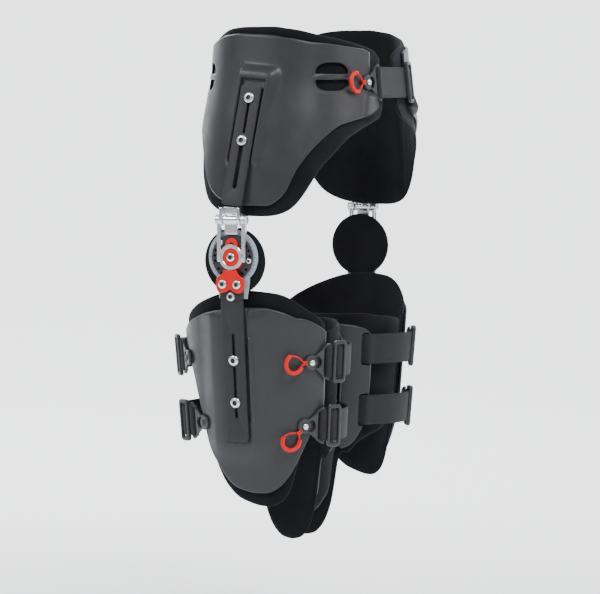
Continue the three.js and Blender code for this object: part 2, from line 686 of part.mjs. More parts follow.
function cuffRows(table, margin, base) {
  return table.map(({ turn, high, low }) => ({
    turn,
    high: cuffDrop(margin, high),
    low: cuffDrop(margin, low),
    base,
  }));
}

function innerRows(table, margin, base) {
  const row = ({ high, low, tongue }, turn) => ({
    turn,
    high: cuffDrop(margin, high),
    low: cuffDrop(margin, low) - (TONGUE_LENGTH + margin) * tongue,
    base,
  });
  const front = table.map((entry) => row(entry, 180 - entry.apart));
  const back = table.slice(0, -1).reverse().map((entry) => row(entry, 180 + entry.apart));
  return [...front, ...back];
}

function thighBoss() {
  const half = THIGH_BAR_WIDTH / 2 + BAR_SEAT_GAP;
  const depth = -CUFF_BAR_STANDOFF - CUFF_PLASTIC * 2;
  const body = loft(THIGH_BOSS.map(({ down }) => section(
    -down * THIGH_BAR_LENGTH,
    { front: half + BOSS_WALL + BOSS_SKIRT, back: half + BOSS_WALL + BOSS_SKIRT },
    { front: half + BOSS_WALL, back: half + BOSS_WALL },
    depth,
    BAR_THICK / 2,
  )));
  const channel = box([-half, half], [-2 * THIGH_BAR_LENGTH, THIGH_BAR_LENGTH], [-BAR_SEAT_GAP, 3 * BAR_THICK]);
  return cut(body, channel).applyMatrix4(bladeFrame()).applyMatrix4(toHingeAxes());
}

function cuffCore() {
  const rows = cuffRows(CUFF_EDGE.filter(({ turn }) => Math.abs(turn) < 50), 3, -10 * CUFF_PLASTIC);
  return wrapped(cuffRing, rows, 9 * CUFF_PLASTIC, 4);
}

function thighShell() {
  const wall = wrapped(cuffRing, cuffRows(CUFF_EDGE, 0, -CUFF_PLASTIC), CUFF_PLASTIC, 1);
  return join(wall, cut(thighBoss(), cuffCore()));
}

function thighLiner() {
  const base = -CUFF_PLASTIC - LINER_GAP - CUFF_LINER;
  return wrapped(cuffRing, cuffRows(CUFF_LINER_EDGE, CUFF_LINER_MARGIN, base), CUFF_LINER, 1);
}

function innerShell() {
  const wall = wrapped(cuffRing, innerRows(INNER_SHELL_EDGE, 0, -CUFF_PLASTIC), CUFF_PLASTIC, 1);
  const slots = CUFF_STRAPS.flatMap(({ drop }) => INNER_SLOTS.map((apart) => slotCutter(cuffRing, 180 + apart, -drop)));
  return cut(wall, ...slots);
}

function innerLiner() {
  const base = -CUFF_PLASTIC - 2 * WEBBING_ROOM - WEBBING_THICK - CUFF_LINER;
  return wrapped(cuffRing, innerRows(INNER_LINER_EDGE, CUFF_LINER_MARGIN, base), CUFF_LINER, 1);
}

// Brackets, buckles, straps and pull rings
function strapBracket(towards) {
  const half = BRACKET_HEIGHT / 2;
  const shape = new THREE.Shape();
  shape.absarc(0, 0, BRACKET_APEX, radians(60), radians(300));
  shape.lineTo(BRACKET_LENGTH - 6, -half + 2);
  shape.quadraticCurveTo(BRACKET_LENGTH - 4, -half, BRACKET_LENGTH - 2, -half);
  shape.quadraticCurveTo(BRACKET_LENGTH, -half, BRACKET_LENGTH, -half + 2);
  shape.lineTo(BRACKET_LENGTH, half - 2);
  shape.quadraticCurveTo(BRACKET_LENGTH, half, BRACKET_LENGTH - 2, half);
  shape.quadraticCurveTo(BRACKET_LENGTH - 4, half, BRACKET_LENGTH - 6, half - 2);
  const slotHalf = WEBBING_WIDTH / 2;
  const slot = box([BRACKET_LENGTH - 7.5, BRACKET_LENGTH - 3.5], [-slotHalf, slotHalf], [-BRACKET_THICK, 2 * BRACKET_THICK]);
  const solid = cut(plate(shape, 0, BRACKET_THICK, 2), disc(BRACKET_POST, -BRACKET_THICK, 3 * BRACKET_THICK, 8), slot);
  return solid.translate(-BRACKET_LENGTH / 2, 0, 0).rotateZ(towards > 0 ? Math.PI : 0);
}

function slideBuckle() {
  const [x, y] = [BUCKLE_LENGTH / 2, BUCKLE_HEIGHT / 2];
  const inner = WEBBING_WIDTH / 2 + SLOT_SPARE;
  const bar = BUCKLE_BAR / 2;
  const windows = [[bar, x - bar], [bar - x, -bar]];
  const cutters = windows.map((span) => box(span, [-inner, inner], [-BUCKLE_THICK, 2 * BUCKLE_THICK]));
  return cut(plate(roundedRect([-x, x], [-y, y], 3), 0, BUCKLE_THICK, 1), ...cutters);
}

function pullRing() {
  return new THREE.TorusGeometry(RING_RADIUS, RING_TUBE, 5, 10).translate(0, 0, RING_TUBE);
}

function webbing(ring, turns, z, low, high, up = 1) {
  const rows = turns.map(({ turn, inside }) => ({
    turn,
    low: z + low,
    high: z + high,
    base: inside ? -CUFF_PLASTIC - WEBBING_ROOM - WEBBING_THICK : WEBBING_LIFT,
  }));
  return wrapped(ring, rows, WEBBING_THICK, up);
}

// The cuff strap weaves through the inner shell's slots, and runs outside elsewhere
function cuffStrapTurns(first, last) {
  const ramp = 2.4;
  const outside = [-180, ...INNER_SLOTS, 180];
  const turns = [];
  for (let i = 0; i + 1 < outside.length; i += 1) {
    const from = i === 0 ? first : 180 + outside[i] + ramp;
    const to = i + 2 === outside.length ? last : 180 + outside[i + 1] - ramp;
    const count = Math.max(2, Math.round((to - from) / 12));
    for (let k = 0; k <= count; k += 1) {
      turns.push({ turn: mix(from, to, k / count), inside: i % 2 === 1 });
    }
  }
  return turns;
}

function cuffFittings(name, { level, drop, frontPost, backPost }) {
  const half = WEBBING_WIDTH / 2;
  const group = new THREE.Group();
  const z = -drop;
  const ends = [["front", frontPost, 1], ["rear", backPost, -1]].map(([end, post, towards]) => {
    const bracketTurn = turnAfter(cuffRing, post, z, towards * BRACKET_LENGTH / 2);
    const buckleTurn = turnAfter(cuffRing, post, z, towards * (BRACKET_LENGTH + BUCKLE_GAP + BUCKLE_LENGTH / 2));
    const bracket = mesh(`${name}_${level}_${end}_bracket`, strapBracket(towards), BUCKLE_PLASTIC);
    const buckle = mesh(`${name}_${level}_${end}_buckle`, slideBuckle(), BUCKLE_PLASTIC);
    group.add(seat(bracket, cuffRing, bracketTurn, z, BRACKET_SEAT));
    group.add(seat(buckle, cuffRing, buckleTurn, z, WEBBING_LIFT + WEBBING_THICK + BUCKLE_SEAT));
    return turnAfter(cuffRing, post, z, towards * (BRACKET_LENGTH + BUCKLE_GAP));
  });
  const turns = cuffStrapTurns(ends[0], 360 + ends[1]);
  group.add(mesh(`${name}_${level}_strap`, webbing(cuffRing, turns, z, -half, half), WEBBING));
  const ringTurn = turnAfter(cuffRing, frontPost, z, -RING_BEHIND_POST);
  const pull = mesh(`${name}_${level}_pull_ring`, pullRing(), RED_PLASTIC);
  group.add(seat(pull, cuffRing, ringTurn, z, BRACKET_SEAT));
  return group;
}

// One side of the brace, drawn for the wearer's left; the right side is its mirror image
function side(name, mirror) {
  const group = new THREE.Group();
  group.scale.x = mirror;
  group.add(mesh(`${name}_girdle_shell`, girdleShell(), DARK_PLASTIC));
  group.add(mesh(`${name}_girdle_liner`, girdleLiner(), LINER_FOAM));
  group.add(mesh(`${name}_girdle_bar`, girdleBar(), BAR_COAT));

  const pivot = new THREE.Group();
  pivot.position.set(HINGE_OUT, HINGE_BACK, -HINGE_DROP);
  group.add(pivot);

  const hinge = new THREE.Group();
  hinge.quaternion.setFromRotationMatrix(toHingeAxes());
  hinge.add(mesh(`${name}_clevis_bracket`, clevisBracket(), ZINC));
  hinge.add(mesh(`${name}_hinge_stirrup`, hingeStirrup(), ZINC));
  hinge.add(mesh(`${name}_stop_disc`, stopDisc(), RED_PLASTIC));
  hinge.add(mesh(`${name}_pivot_screw`, pivotScrew(), RED_PLASTIC));
  hinge.add(mesh(`${name}_dial_plate`, dialPlate(), DIAL_GREY));
  hinge.add(mesh(`${name}_hinge_pad`, hingePad(), LINER_FOAM));
  hinge.add(mesh(`${name}_hinge_cover`, hingeCover(), RED_PLASTIC));
  hinge.add(mesh(`${name}_thigh_bar`, thighBar(), BAR_COAT));
  pivot.add(hinge);

  pivot.add(mesh(`${name}_thigh_shell`, thighShell(), DARK_PLASTIC));
  pivot.add(mesh(`${name}_thigh_liner`, thighLiner(), LINER_FOAM));
  pivot.add(mesh(`${name}_inner_shell`, innerShell(), DARK_PLASTIC));
  pivot.add(mesh(`${name}_inner_liner`, innerLiner(), LINER_FOAM));
  CUFF_STRAPS.forEach((strap) => pivot.add(cuffFittings(name, strap)));
  return group;
}

// Closing strap across the front, from the right shell's bracket to the left shell's buckle
function waistFittings() {
  const group = new THREE.Group();
  const half = WEBBING_WIDTH / 2;
  const z = WAIST_STRAP_RISE;
  const postTurn = 180 - WAIST_POST;
  const bracketTurn = turnAfter(girdleRing, postTurn, z, -BRACKET_LENGTH / 2);
  const strapFrom = turnAfter(girdleRing, postTurn, z, -BRACKET_LENGTH - LAYER_GAP);
  const buckleTurn = WAIST_BUCKLE;
  const strapTo = turnAfter(girdleRing, buckleTurn, z, -BUCKLE_LENGTH / 2);
  const turns = (from, to, count) => Array.from({ length: count + 1 }, (_, i) => ({ turn: mix(from, to, i / count) }));

  const bracket = mesh("waist_bracket", strapBracket(-1), BUCKLE_PLASTIC);
  group.add(seat(bracket, girdleRing, bracketTurn, z, BRACKET_SEAT));
  const buckle = mesh("waist_buckle", slideBuckle(), BUCKLE_PLASTIC);
  group.add(seat(buckle, girdleRing, buckleTurn, z, WEBBING_LIFT + WEBBING_THICK + BUCKLE_SEAT));
  const front = webbing(girdleRing, turns(strapTo, strapFrom, 5), z, -half, half, 2);
  group.add(mesh("waist_strap", front, WEBBING));
  const back = webbing(girdleRing, turns(270 - BACK_STRAP_HALF, 270 + BACK_STRAP_HALF, 9), z, -half, half, 2);
  group.add(mesh("back_strap", back, WEBBING));
  const ringTurn = turnAfter(girdleRing, postTurn, z, RING_BEHIND_POST);
  const pull = mesh("waist_pull_ring", pullRing(), RED_PLASTIC);
  group.add(seat(pull, girdleRing, ringTurn, z, BRACKET_SEAT));
  return group;
}

const brace = new THREE.Group();
brace.add(side("left", 1), side("right", -1), waistFittings());

export default brace;
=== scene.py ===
"""Looks of a two-sided hip brace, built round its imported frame. Sizes are millimetres unless stated."""

import math

import bmesh
import bpy
import numpy as np
from mathutils import Matrix, Vector


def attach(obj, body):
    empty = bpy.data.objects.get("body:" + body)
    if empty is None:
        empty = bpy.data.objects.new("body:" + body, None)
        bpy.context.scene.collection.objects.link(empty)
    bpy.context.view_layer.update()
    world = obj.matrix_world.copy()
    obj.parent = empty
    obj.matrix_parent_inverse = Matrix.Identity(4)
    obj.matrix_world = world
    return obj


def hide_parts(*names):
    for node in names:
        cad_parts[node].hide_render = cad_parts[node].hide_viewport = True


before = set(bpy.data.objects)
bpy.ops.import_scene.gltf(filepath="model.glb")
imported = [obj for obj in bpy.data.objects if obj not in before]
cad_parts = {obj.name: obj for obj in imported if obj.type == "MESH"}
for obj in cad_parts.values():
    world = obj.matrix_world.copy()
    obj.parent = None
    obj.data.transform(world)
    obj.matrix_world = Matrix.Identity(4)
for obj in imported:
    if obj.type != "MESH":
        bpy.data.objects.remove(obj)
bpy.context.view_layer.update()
MM = 0.001

# Girdle
WAIST_HALF_WIDTH = 155
WAIST_HALF_DEPTH = 108
HIP_HALF_WIDTH = 184
HIP_HALF_DEPTH = 122
GIRDLE_ABOVE = 56
GIRDLE_BELOW = 150
GIRDLE_SQUARENESS = 2.5
GIRDLE_PLASTIC = 3.2
GIRDLE_LINER_MARGIN = 9
LINER_GAP = 1.2
LINER_THICK = 4.5
SHELL_RIM = 0.7
COLUMN_STEP = 2.2
PUFF = 0.8
PUFF_FRAMES = 20
LOBE_TURN = 46
LOBE_LENGTH = 46
LOBE_ARCH = 13
LOBE_RISE = 4
LOBE_BRIDGE = 7

# Hinge pivot and cuff
HINGE_OUT = 190
HINGE_BACK = 16
HINGE_DROP = 212
CLEVIS_RISE = 45
CUFF_TOP_HALF_WIDTH = 84
CUFF_TOP_HALF_DEPTH = 102
CUFF_LOW_HALF_WIDTH = 74
CUFF_LOW_HALF_DEPTH = 88
CUFF_SQUARENESS = 2.2
CUFF_TOP_DROP = 61
CUFF_HEIGHT = 228
CUFF_MIDLINE_GAP = 11
CUFF_BACK = 3
CUFF_PLASTIC = 3
CUFF_LINER_MARGIN = 18
TONGUE_LENGTH = 84
WEBBING_ROOM = 0.8
WEBBING_THICK = 2
WEBBING_WIDTH = 38
WEBBING_LIFT = 1

# Bars and their seats
BAR_THICK = 4
BAR_LIFT = 5.5
SEAT_GAP = 0.3
CHANNEL_GAP = 1.1
CHANNEL_END = 9
GIRDLE_BAR_WIDTH = 27.5
GIRDLE_BAR_LENGTH = 146
GIRDLE_BAR_SCREWS = (79, 131)
THIGH_BAR_WIDTH = 30
THIGH_BAR_LENGTH = 176
THIGH_BAR_SCREWS = (-75, -127)
BAR_SCREW_RADIUS = 6.6
BAR_SCREW_HIGH = 3.4
SCREW_SIDES = 24
THIGH_BAR_TILT = math.atan2(2 * (CUFF_TOP_HALF_WIDTH - CUFF_LOW_HALF_WIDTH), CUFF_HEIGHT)
BAR_BEND = 50
BAR_HEAD = 27

# Hinge layers outward from the pivot plane
DIAL_LAYER = -6.9
DIAL_THICK = 2.5
DISC_LAYER = -4.1
DISC_THICK = 2.2
ARM_LAYER = -1.6
ARM_THICK = 2.6
STOP_SCREWS = ((15.2, 17.4), (-23.0, -4.0))
PIN_OUT = -1.2
PIN_RADIUS = 4.2
PIN_LENGTH = 42

BRACKET_LENGTH = 27
BRACKET_HEIGHT = 46
BRACKET_THICK = 3.6
BRACKET_SEAT = 0.3
BUCKLE_LENGTH = 18
BUCKLE_HEIGHT = 52
BUCKLE_THICK = 5
BUCKLE_GAP = 1
BUCKLE_SEAT = 0.4
RING_RADIUS = 11.5
RING_TUBE = 2.6
RING_BEHIND_POST = 25
CORD_RADIUS = 1.05
KNOT_BEHIND_POST = 11.8
WAIST_STRAP_RISE = -3
WAIST_POST = 71
WAIST_BUCKLE = 77
BACK_STRAP_HALF = 24
SETTLE = 5
# Pull loops of the cuff straps: their own turn and their grip's
CUFF_LOOPS = {"upper": (0.0, -48), "lower": (math.radians(-42), -34)}
# How a strap settles onto the shell after its buckle: distance, and share of its height left
RUN_OUT = ((14, 0.92), (28, 0.6), (42, 0.25), (56, 0.0))

# Girdle rings: height as a share, and how far in from hip size, 0, to waist size, 1
GIRDLE_SECTIONS = [
    (-0.08, -0.03), (0.0, 0.0), (0.24, 0.2), (0.49, 0.55), (0.73, 1.0), (1.0, 1.27), (1.08, 1.32)]

# Edges: turn, high and low, as shares of the height above and below the strap
GIRDLE_EDGE = [
    (-75, 0.64, 0.24), (-66, 0.68, 0.31), (-52, 0.75, 0.37), (-41, 0.82, 0.47), (-32, 0.89, 0.63),
    (-25, 0.95, 0.81), (-18, 0.98, 0.91), (-10, 1.0, 0.97), (0, 0.98, 1.0), (8, 0.95, 1.0),
    (14, 0.91, 0.96), (19, 0.89, 0.88), (24, 0.86, 0.73), (30, 0.82, 0.61), (40, 0.79, 0.47),
    (50, 0.75, 0.37), (62, 0.7, 0.32), (71, 0.66, 0.28), (75, 0.6, 0.22)]
GIRDLE_LINER_EDGE = [
    (-85, 0.42, 0.18), (-82, 0.52, 0.28), (-75, 0.6, 0.32), (-64, 0.68, 0.39), (-52, 0.76, 0.5),
    (-42, 0.82, 0.63), (-35, 0.87, 0.78), (-28, 0.92, 0.9), (-20, 0.97, 0.97), (-8, 1.0, 1.02),
    (6, 1.0, 1.03), (16, 0.96, 1.01), (23, 0.93, 0.96), (28, 0.9, 0.89), (33, 0.87, 0.8),
    (39, 0.84, 0.68), (47, 0.8, 0.58), (57, 0.75, 0.46), (68, 0.68, 0.38), (78, 0.6, 0.32),
    (83, 0.52, 0.28), (86, 0.4, 0.18)]
CUFF_EDGE = [
    (-66, 0.158, 0.2), (-56, 0.136, 0.276), (-46, 0.101, 0.355), (-40, 0.083, 0.47), (-33, 0.066, 0.632),
    (-26, 0.048, 0.768), (-16, 0.03, 0.882), (-6, 0.013, 0.961), (6, 0.0, 0.996), (18, 0.0, 1.0),
    (30, 0.016, 0.969), (38, 0.035, 0.917), (45, 0.055, 0.846), (52, 0.061, 0.763), (60, 0.083, 0.671),
    (68, 0.11, 0.601), (74, 0.136, 0.54)]
CUFF_LINER_EDGE = [
    (-72, 0.185, 0.2), (-60, 0.14, 0.275), (-50, 0.105, 0.35), (-43, 0.085, 0.465), (-36, 0.065, 0.625),
    (-28, 0.045, 0.755), (-17, 0.02, 0.88), (-5, 0.0, 0.955), (8, -0.01, 0.99), (20, -0.005, 1.0),
    (32, 0.005, 0.98), (41, 0.025, 0.93), (47, 0.045, 0.84), (52, 0.065, 0.745), (60, 0.09, 0.655),
    (69, 0.12, 0.585), (76, 0.15, 0.52)]
# Inner thigh pieces: degrees from the middle of the inner thigh, high, low and share of the tongue
INNER_SHELL_EDGE = [
    (56, 0.22, 0.66, 0), (50, 0.185, 0.74, 0), (41, 0.165, 0.82, 0), (32, 0.155, 0.85, 0),
    (25, 0.15, 0.86, 0.05), (22.5, 0.15, 0.86, 0.5), (17, 0.15, 0.86, 0.76), (9, 0.15, 0.86, 0.94),
    (0, 0.15, 0.86, 1)]
INNER_LINER_EDGE = [
    (100, 0.19, 0.66, 0), (80, 0.17, 0.72, 0), (62, 0.16, 0.75, 0), (50, 0.15, 0.78, 0),
    (40, 0.15, 0.83, 0), (30, 0.15, 0.85, 0.03), (27, 0.15, 0.85, 0.42), (21, 0.15, 0.85, 0.73),
    (11, 0.15, 0.85, 0.94), (0, 0.15, 0.85, 1)]
INNER_SLOTS = (-50, -25, 25, 50)
CUFF_STRAPS = (("upper", 128, 57, -50), ("lower", 206, 52, -30))
GIRDLE_BAR_SLOTS = ((0.14, 0.54, 5.2), (0.6, 0.89, 3.2))
THIGH_BAR_SLOTS = ((0.24, 0.45, 3.6), (0.47, 0.83, 3.6))
# Front flank of the girdle bar's seat: height as a share of the bar, width, and width of its crest
SEAT_FLANK = ((0.26, 8, 3), (0.34, 14, 5), (0.5, 19, 6), (0.7, 23, 7), (1.12, 19, 7), (1.2, 15, 5))
SIDES = (("left", 1), ("right", -1))


# Smooth curves through short tables
def curve_through(xs, ys, where):
    """A smooth curve through the points, by cubic pieces whose slopes never overshoot."""
    xs = np.asarray(xs, float)
    ys = np.asarray(ys, float)
    chord = np.diff(ys) / np.diff(xs)
    slope = np.concatenate([[chord[0]], (chord[1:] + chord[:-1]) / 2, [chord[-1]]])
    turning = np.concatenate([[False], chord[1:] * chord[:-1] <= 0, [False]])
    slope = np.where(turning, 0, slope)
    i = np.clip(np.searchsorted(xs, where) - 1, 0, len(xs) - 2)
    span = xs[i + 1] - xs[i]
    t = (where - xs[i]) / span
    line = ys[i] * (1 - t) + ys[i + 1] * t
    return line + t * (1 - t) * span * ((slope[i] - chord[i]) * (1 - t) - (slope[i + 1] - chord[i]) * t)


def travelled(points):
    """Distance from the first point to each one along a row of points."""
    return np.concatenate([[0], np.cumsum(np.linalg.norm(np.diff(points, axis=0), axis=1))])


def mix(a, b, t):
    return a + (b - a) * t


def section_point(half_width, half_depth, squareness, turn):
    across = np.cos(np.radians(turn))
    forward = np.sin(np.radians(turn))
    power = 2 / squareness
    x = half_width * np.sign(across) * np.abs(across) ** power
    y = -half_depth * np.sign(forward) * np.abs(forward) ** power
    return x, y


def girdle_inward(z):
    rows = np.array(GIRDLE_SECTIONS)
    return curve_through(rows[:, 0], rows[:, 1], (z + GIRDLE_BELOW) / (GIRDLE_ABOVE + GIRDLE_BELOW))


def girdle_point(turn, z, out):
    """A point of the girdle's ring; turn 0 is the wearer's left side and 90 the front."""
    inward = girdle_inward(z)
    x, y = section_point(mix(HIP_HALF_WIDTH, WAIST_HALF_WIDTH, inward) + out,
                         mix(HIP_HALF_DEPTH, WAIST_HALF_DEPTH, inward) + out, GIRDLE_SQUARENESS, turn)
    return np.stack(np.broadcast_arrays(x, y, z), -1)


def cuff_point(turn, z, out):
    """A point of the cuff's ring; z counts from the hinge pivot."""
    down = (-z - CUFF_TOP_DROP) / CUFF_HEIGHT
    half_width = mix(CUFF_TOP_HALF_WIDTH, CUFF_LOW_HALF_WIDTH, down)
    half_depth = mix(CUFF_TOP_HALF_DEPTH, CUFF_LOW_HALF_DEPTH, down)
    x, y = section_point(half_width + out, half_depth + out, CUFF_SQUARENESS, turn)
    parts = (x + CUFF_MIDLINE_GAP + half_width, y + CUFF_BACK + HINGE_BACK, z - HINGE_DROP)
    return np.stack(np.broadcast_arrays(*parts), -1)


def turn_after(point, turn, z, distance):
    """The turn reached after a distance along a ring, to half a degree."""
    step = 0.5 * np.sign(distance)
    left = abs(distance)
    while left > 0:
        left -= np.linalg.norm(point(turn, z, 0) - point(turn + step, z, 0))
        turn += step
    return turn


# Meshes
def added(name, data):
    """A new object in the scene."""
    obj = bpy.data.objects.new(name, data)
    bpy.context.scene.collection.objects.link(obj)
    return obj


def new_object(name, mesh, material, body, nodes=()):
    """A piece that rides on a body, has a material and stands for some CAD nodes."""
    obj = added(name, mesh)
    if not mesh.materials:
        mesh.materials.append(material)
    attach(obj, body)
    if nodes:
        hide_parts(*nodes)
    return obj


def mirrored(mesh, name):
    """The mesh's mirror image across the middle of the body."""
    copy = mesh.copy()
    copy.name = name
    copy.transform(Matrix.Scale(-1, 4, (1, 0, 0)))
    copy.flip_normals()
    return copy


def pair(name, mesh, material, body, slot, nodes=()):
    """Puts a piece drawn for the left side on both sides."""
    made = []
    for side, sign in SIDES:
        own = mesh if sign > 0 else mirrored(mesh, f"right_{name}")
        where = body if body == "root" else f"{side}_{body}"
        stands_for = [f"{side}_{node}" for node in nodes]
        made.append(new_object(f"{side}_{name}_look", own, material, where, stands_for))
    return made


def hard_pair(name, mesh, material, body, slot, *nodes):
    return pair(name, edges_sharp(mesh), material, body, slot, nodes)


def mesh_of(name, points, faces, uv=None):
    mesh = bpy.data.meshes.new(name)
    mesh.from_pydata([tuple(p) for p in np.asarray(points) * MM], [], [tuple(f) for f in faces])
    bm = bmesh.new()
    bm.from_mesh(mesh)
    if bm.calc_volume(signed=True) < 0:
        bmesh.ops.reverse_faces(bm, faces=bm.faces)
    bm.to_mesh(mesh)
    bm.free()
    mesh.polygons.foreach_set("use_smooth", [True] * len(mesh.polygons))
    if uv is not None:
        layer = mesh.uv_layers.new(name="UVMap")
        loops = np.zeros(len(mesh.loops), dtype=np.int32)
        mesh.loops.foreach_get("vertex_index", loops)
        layer.data.foreach_set("uv", (np.asarray(uv)[loops] * MM).astype(np.float32).ravel())
    return mesh


def nearest_on(loop, points):
    """Nearest point of a closed outline for each point, and whether the point lies inside."""
    a = np.asarray(loop, float)
    b = np.roll(a, -1, axis=0)
    ab = b - a
    ap = points[:, None, :] - a[None]
    t = np.clip((ap * ab[None]).sum(-1) / (ab * ab).sum(-1)[None], 0, 1)
    near = a[None] + t[..., None] * ab[None]
    distance = np.linalg.norm(points[:, None, :] - near, axis=-1)
    best = distance.argmin(1)
    rising = (a[None, :, 1] > points[:, None, 1]) != (b[None, :, 1] > points[:, None, 1])
    height = np.where(np.abs(ab[:, 1]) < 1e-9, 1e-9, ab[:, 1])
    cross_x = a[None, :, 0] + (points[:, None, 1] - a[None, :, 1]) / height[None] * ab[None, :, 0]
    inside = (rising & (points[:, None, 0] < cross_x)).sum(1) % 2 == 1
    return near[np.arange(len(points)), best], inside


def wall(name, point, columns, turn_of, edge, base, thick, rows, rim, holes=(), stand=None):
    """A closed wall that wraps a ring. Each column starts from a turn; turn_of(column, z) says where it runs,
    and edge(turn) gives its low and high ends. holes are (turn, z, outline round that place), and
    stand(turn, z) is how far the outer face rises above the wall."""
    column = np.asarray(columns, float)[:, None]
    ends = [edge(column[:, 0])[k] for k in (0, 1)]
    for _ in range(6):
        ends = [edge(turn_of(column, ends[k][:, None])[:, 0])[k] for k in (0, 1)]
    low, high = ends
    z = low[:, None] + (high - low)[:, None] * np.linspace(0, 1, rows + 1)[None, :]
    turn = turn_of(column, z) + 0 * z
    cells = np.ones((len(columns) - 1, rows), bool)
    border = np.zeros(turn.shape, bool)
    border[[0, -1]] = True
    border[:, [0, -1]] = True
    for hole_turn, hole_z, outline in holes:
        pace = np.linalg.norm(point(hole_turn + 0.5, hole_z, 0.0) - point(hole_turn - 0.5, hole_z, 0.0))
        u = (hole_turn - turn) * pace
        v = z - hole_z
        near, _ = nearest_on(outline, np.stack([u.ravel(), v.ravel()], 1))
        middle = np.stack([(u[:-1, :-1] + u[1:, 1:]).ravel(), (v[:-1, :-1] + v[1:, 1:]).ravel()], 1) / 2
        gone = nearest_on(outline, middle)[1].reshape(cells.shape)
        cells &= ~gone
        edge_of_hole = beside(gone) & beside(~gone)
        near = near.reshape(turn.shape + (2,))
        turn = np.where(edge_of_hole, hole_turn - near[..., 0] / pace, turn)
        z = np.where(edge_of_hole, hole_z + near[..., 1], z)
        border |= edge_of_hole
    soften = np.where(border, rim, 0.0)
    raised = 0.0 if stand is None else stand(turn, z)
    base = np.broadcast_to(np.asarray(base, float).reshape(-1, 1), turn.shape)
    outer = point(turn, z, base + thick - soften + raised).reshape(-1, 3)
    inner = point(turn, z, base + soften).reshape(-1, 3)
    along = travelled(point(column[:, 0], low * 0, 0.0))
    uv = np.stack([np.repeat(along[:, None], rows + 1, 1).ravel(), z.ravel()], 1)
    return closed_sheet(name, outer, inner, cells, uv)


def beside(cells):
    """Grid points that touch one of the cells."""
    points = np.zeros((cells.shape[0] + 1, cells.shape[1] + 1), bool)
    for i in (0, 1):
        for j in (0, 1):
            points[i:i + cells.shape[0], j:j + cells.shape[1]] |= cells
    return points


def closed_sheet(name, outer, inner, cells, uv):
    """Joins an outer and an inner grid of points into one closed body, without the cells that are False."""
    columns, rows = cells.shape
    index = np.arange((columns + 1) * (rows + 1)).reshape(columns + 1, rows + 1)
    quads = np.stack([index[:-1, :-1], index[1:, :-1], index[1:, 1:], index[:-1, 1:]], -1)[cells]
    directed = np.concatenate([quads[:, [k, (k + 1) % 4]] for k in range(4)])
    known = set(map(tuple, directed.tolist()))
    rims = [pair_of for pair_of in known if pair_of[::-1] not in known]
    count = index.size
    faces = [tuple(q) for q in quads.tolist()]
    faces += [tuple(q) for q in (quads[:, ::-1] + count).tolist()]
    faces += [(b, a, a + count, b + count) for a, b in sorted(rims)]
    used = np.unique(quads)
    everything = np.concatenate([used, used + count])
    renumber = np.full(2 * count, -1)
    renumber[everything] = np.arange(len(everything))
    faces = [tuple(int(renumber[v]) for v in face) for face in faces]
    points = np.concatenate([outer, inner])[everything]
    return mesh_of(name, points, faces, uv=np.concatenate([uv, uv])[everything])


def strip(name, point, start, z, path, across=8):
    """A band of webbing along a ring. path gives its middle line, as distances along the ring from the turn
    start and how far out."""
    path = smooth_line(np.asarray(path, float))
    turns = np.arange(start - 200, start + 560, 0.5)
    ring = point(turns, z, 0.0)
    arcs = travelled(ring)
    arcs -= np.interp(start, turns, arcs)
    step = np.gradient(path, axis=0)
    step /= np.linalg.norm(step, axis=1)[:, None]
    away = np.stack([-step[:, 1], step[:, 0]], 1)
    share = np.linspace(-1, 1, across + 1)[None, :]
    half = WEBBING_THICK / 2 * np.where(np.abs(share) > 0.99, 0.45, 1.0)
    sides = []
    for sign in (1, -1):
        skin = path[:, None, :] + sign * half[..., None] * away[:, None, :]
        turn = np.interp(skin[..., 0], arcs, turns)
        sides.append(point(turn, z + share * WEBBING_WIDTH / 2 + 0 * turn, skin[..., 1]).reshape(-1, 3))
    lengths = np.repeat(travelled(path)[:, None], across + 1, 1).ravel()
    uv = np.stack([lengths, np.tile(share[0] * WEBBING_WIDTH / 2, len(path))], 1)
    return closed_sheet(name, sides[0], sides[1], np.ones((len(path) - 1, across), bool), uv)


def smooth_line(points, spacing=1.5, rounds=2):
    """Rounds a path's corners and sets its points at even distances."""
    for _ in range(rounds):
        first = points[:-1] * 0.75 + points[1:] * 0.25
        second = points[:-1] * 0.25 + points[1:] * 0.75
        points = np.concatenate([points[:1], np.stack([first, second], 1).reshape(-1, 2), points[-1:]])
    length = travelled(points)
    marks = np.linspace(0, length[-1], max(3, int(length[-1] / spacing)))
    return np.stack([np.interp(marks, length, points[:, k]) for k in (0, 1)], 1)


# Places
def axes(x, y, z, origin):
    """A place from its three axes and its origin in millimetres."""
    place = Matrix((x, y, z)).transposed().to_4x4()
    place.translation = Vector(origin) * MM
    return place


def seat(point, turn, z, lift):
    """A place on a ring: x towards the outer side, y up, z away from the body."""
    nudge = 0.5
    along = Vector(point(turn - nudge, z, lift) - point(turn + nudge, z, lift)).normalized()
    rise = Vector(point(turn, z + nudge, lift) - point(turn, z - nudge, lift)).normalized()
    away = along.cross(rise).normalized()
    return axes(along, away.cross(along), away, point(turn, z, lift))


def at(place, x, y, z=0):
    """The place moved along its own axes."""
    return place @ Matrix.Translation((x * MM, y * MM, z * MM))


HINGE = axes((0, 1, 0), (0, 0, 1), (1, 0, 0), (HINGE_OUT, HINGE_BACK, -HINGE_DROP))
BLADE = at(HINGE, 0, -BAR_BEND, DISC_LAYER) @ Matrix.Rotation(THIGH_BAR_TILT, 4, "X")


def lean_back(z):
    return HINGE_BACK * (-z / (HINGE_DROP - CLEVIS_RISE))


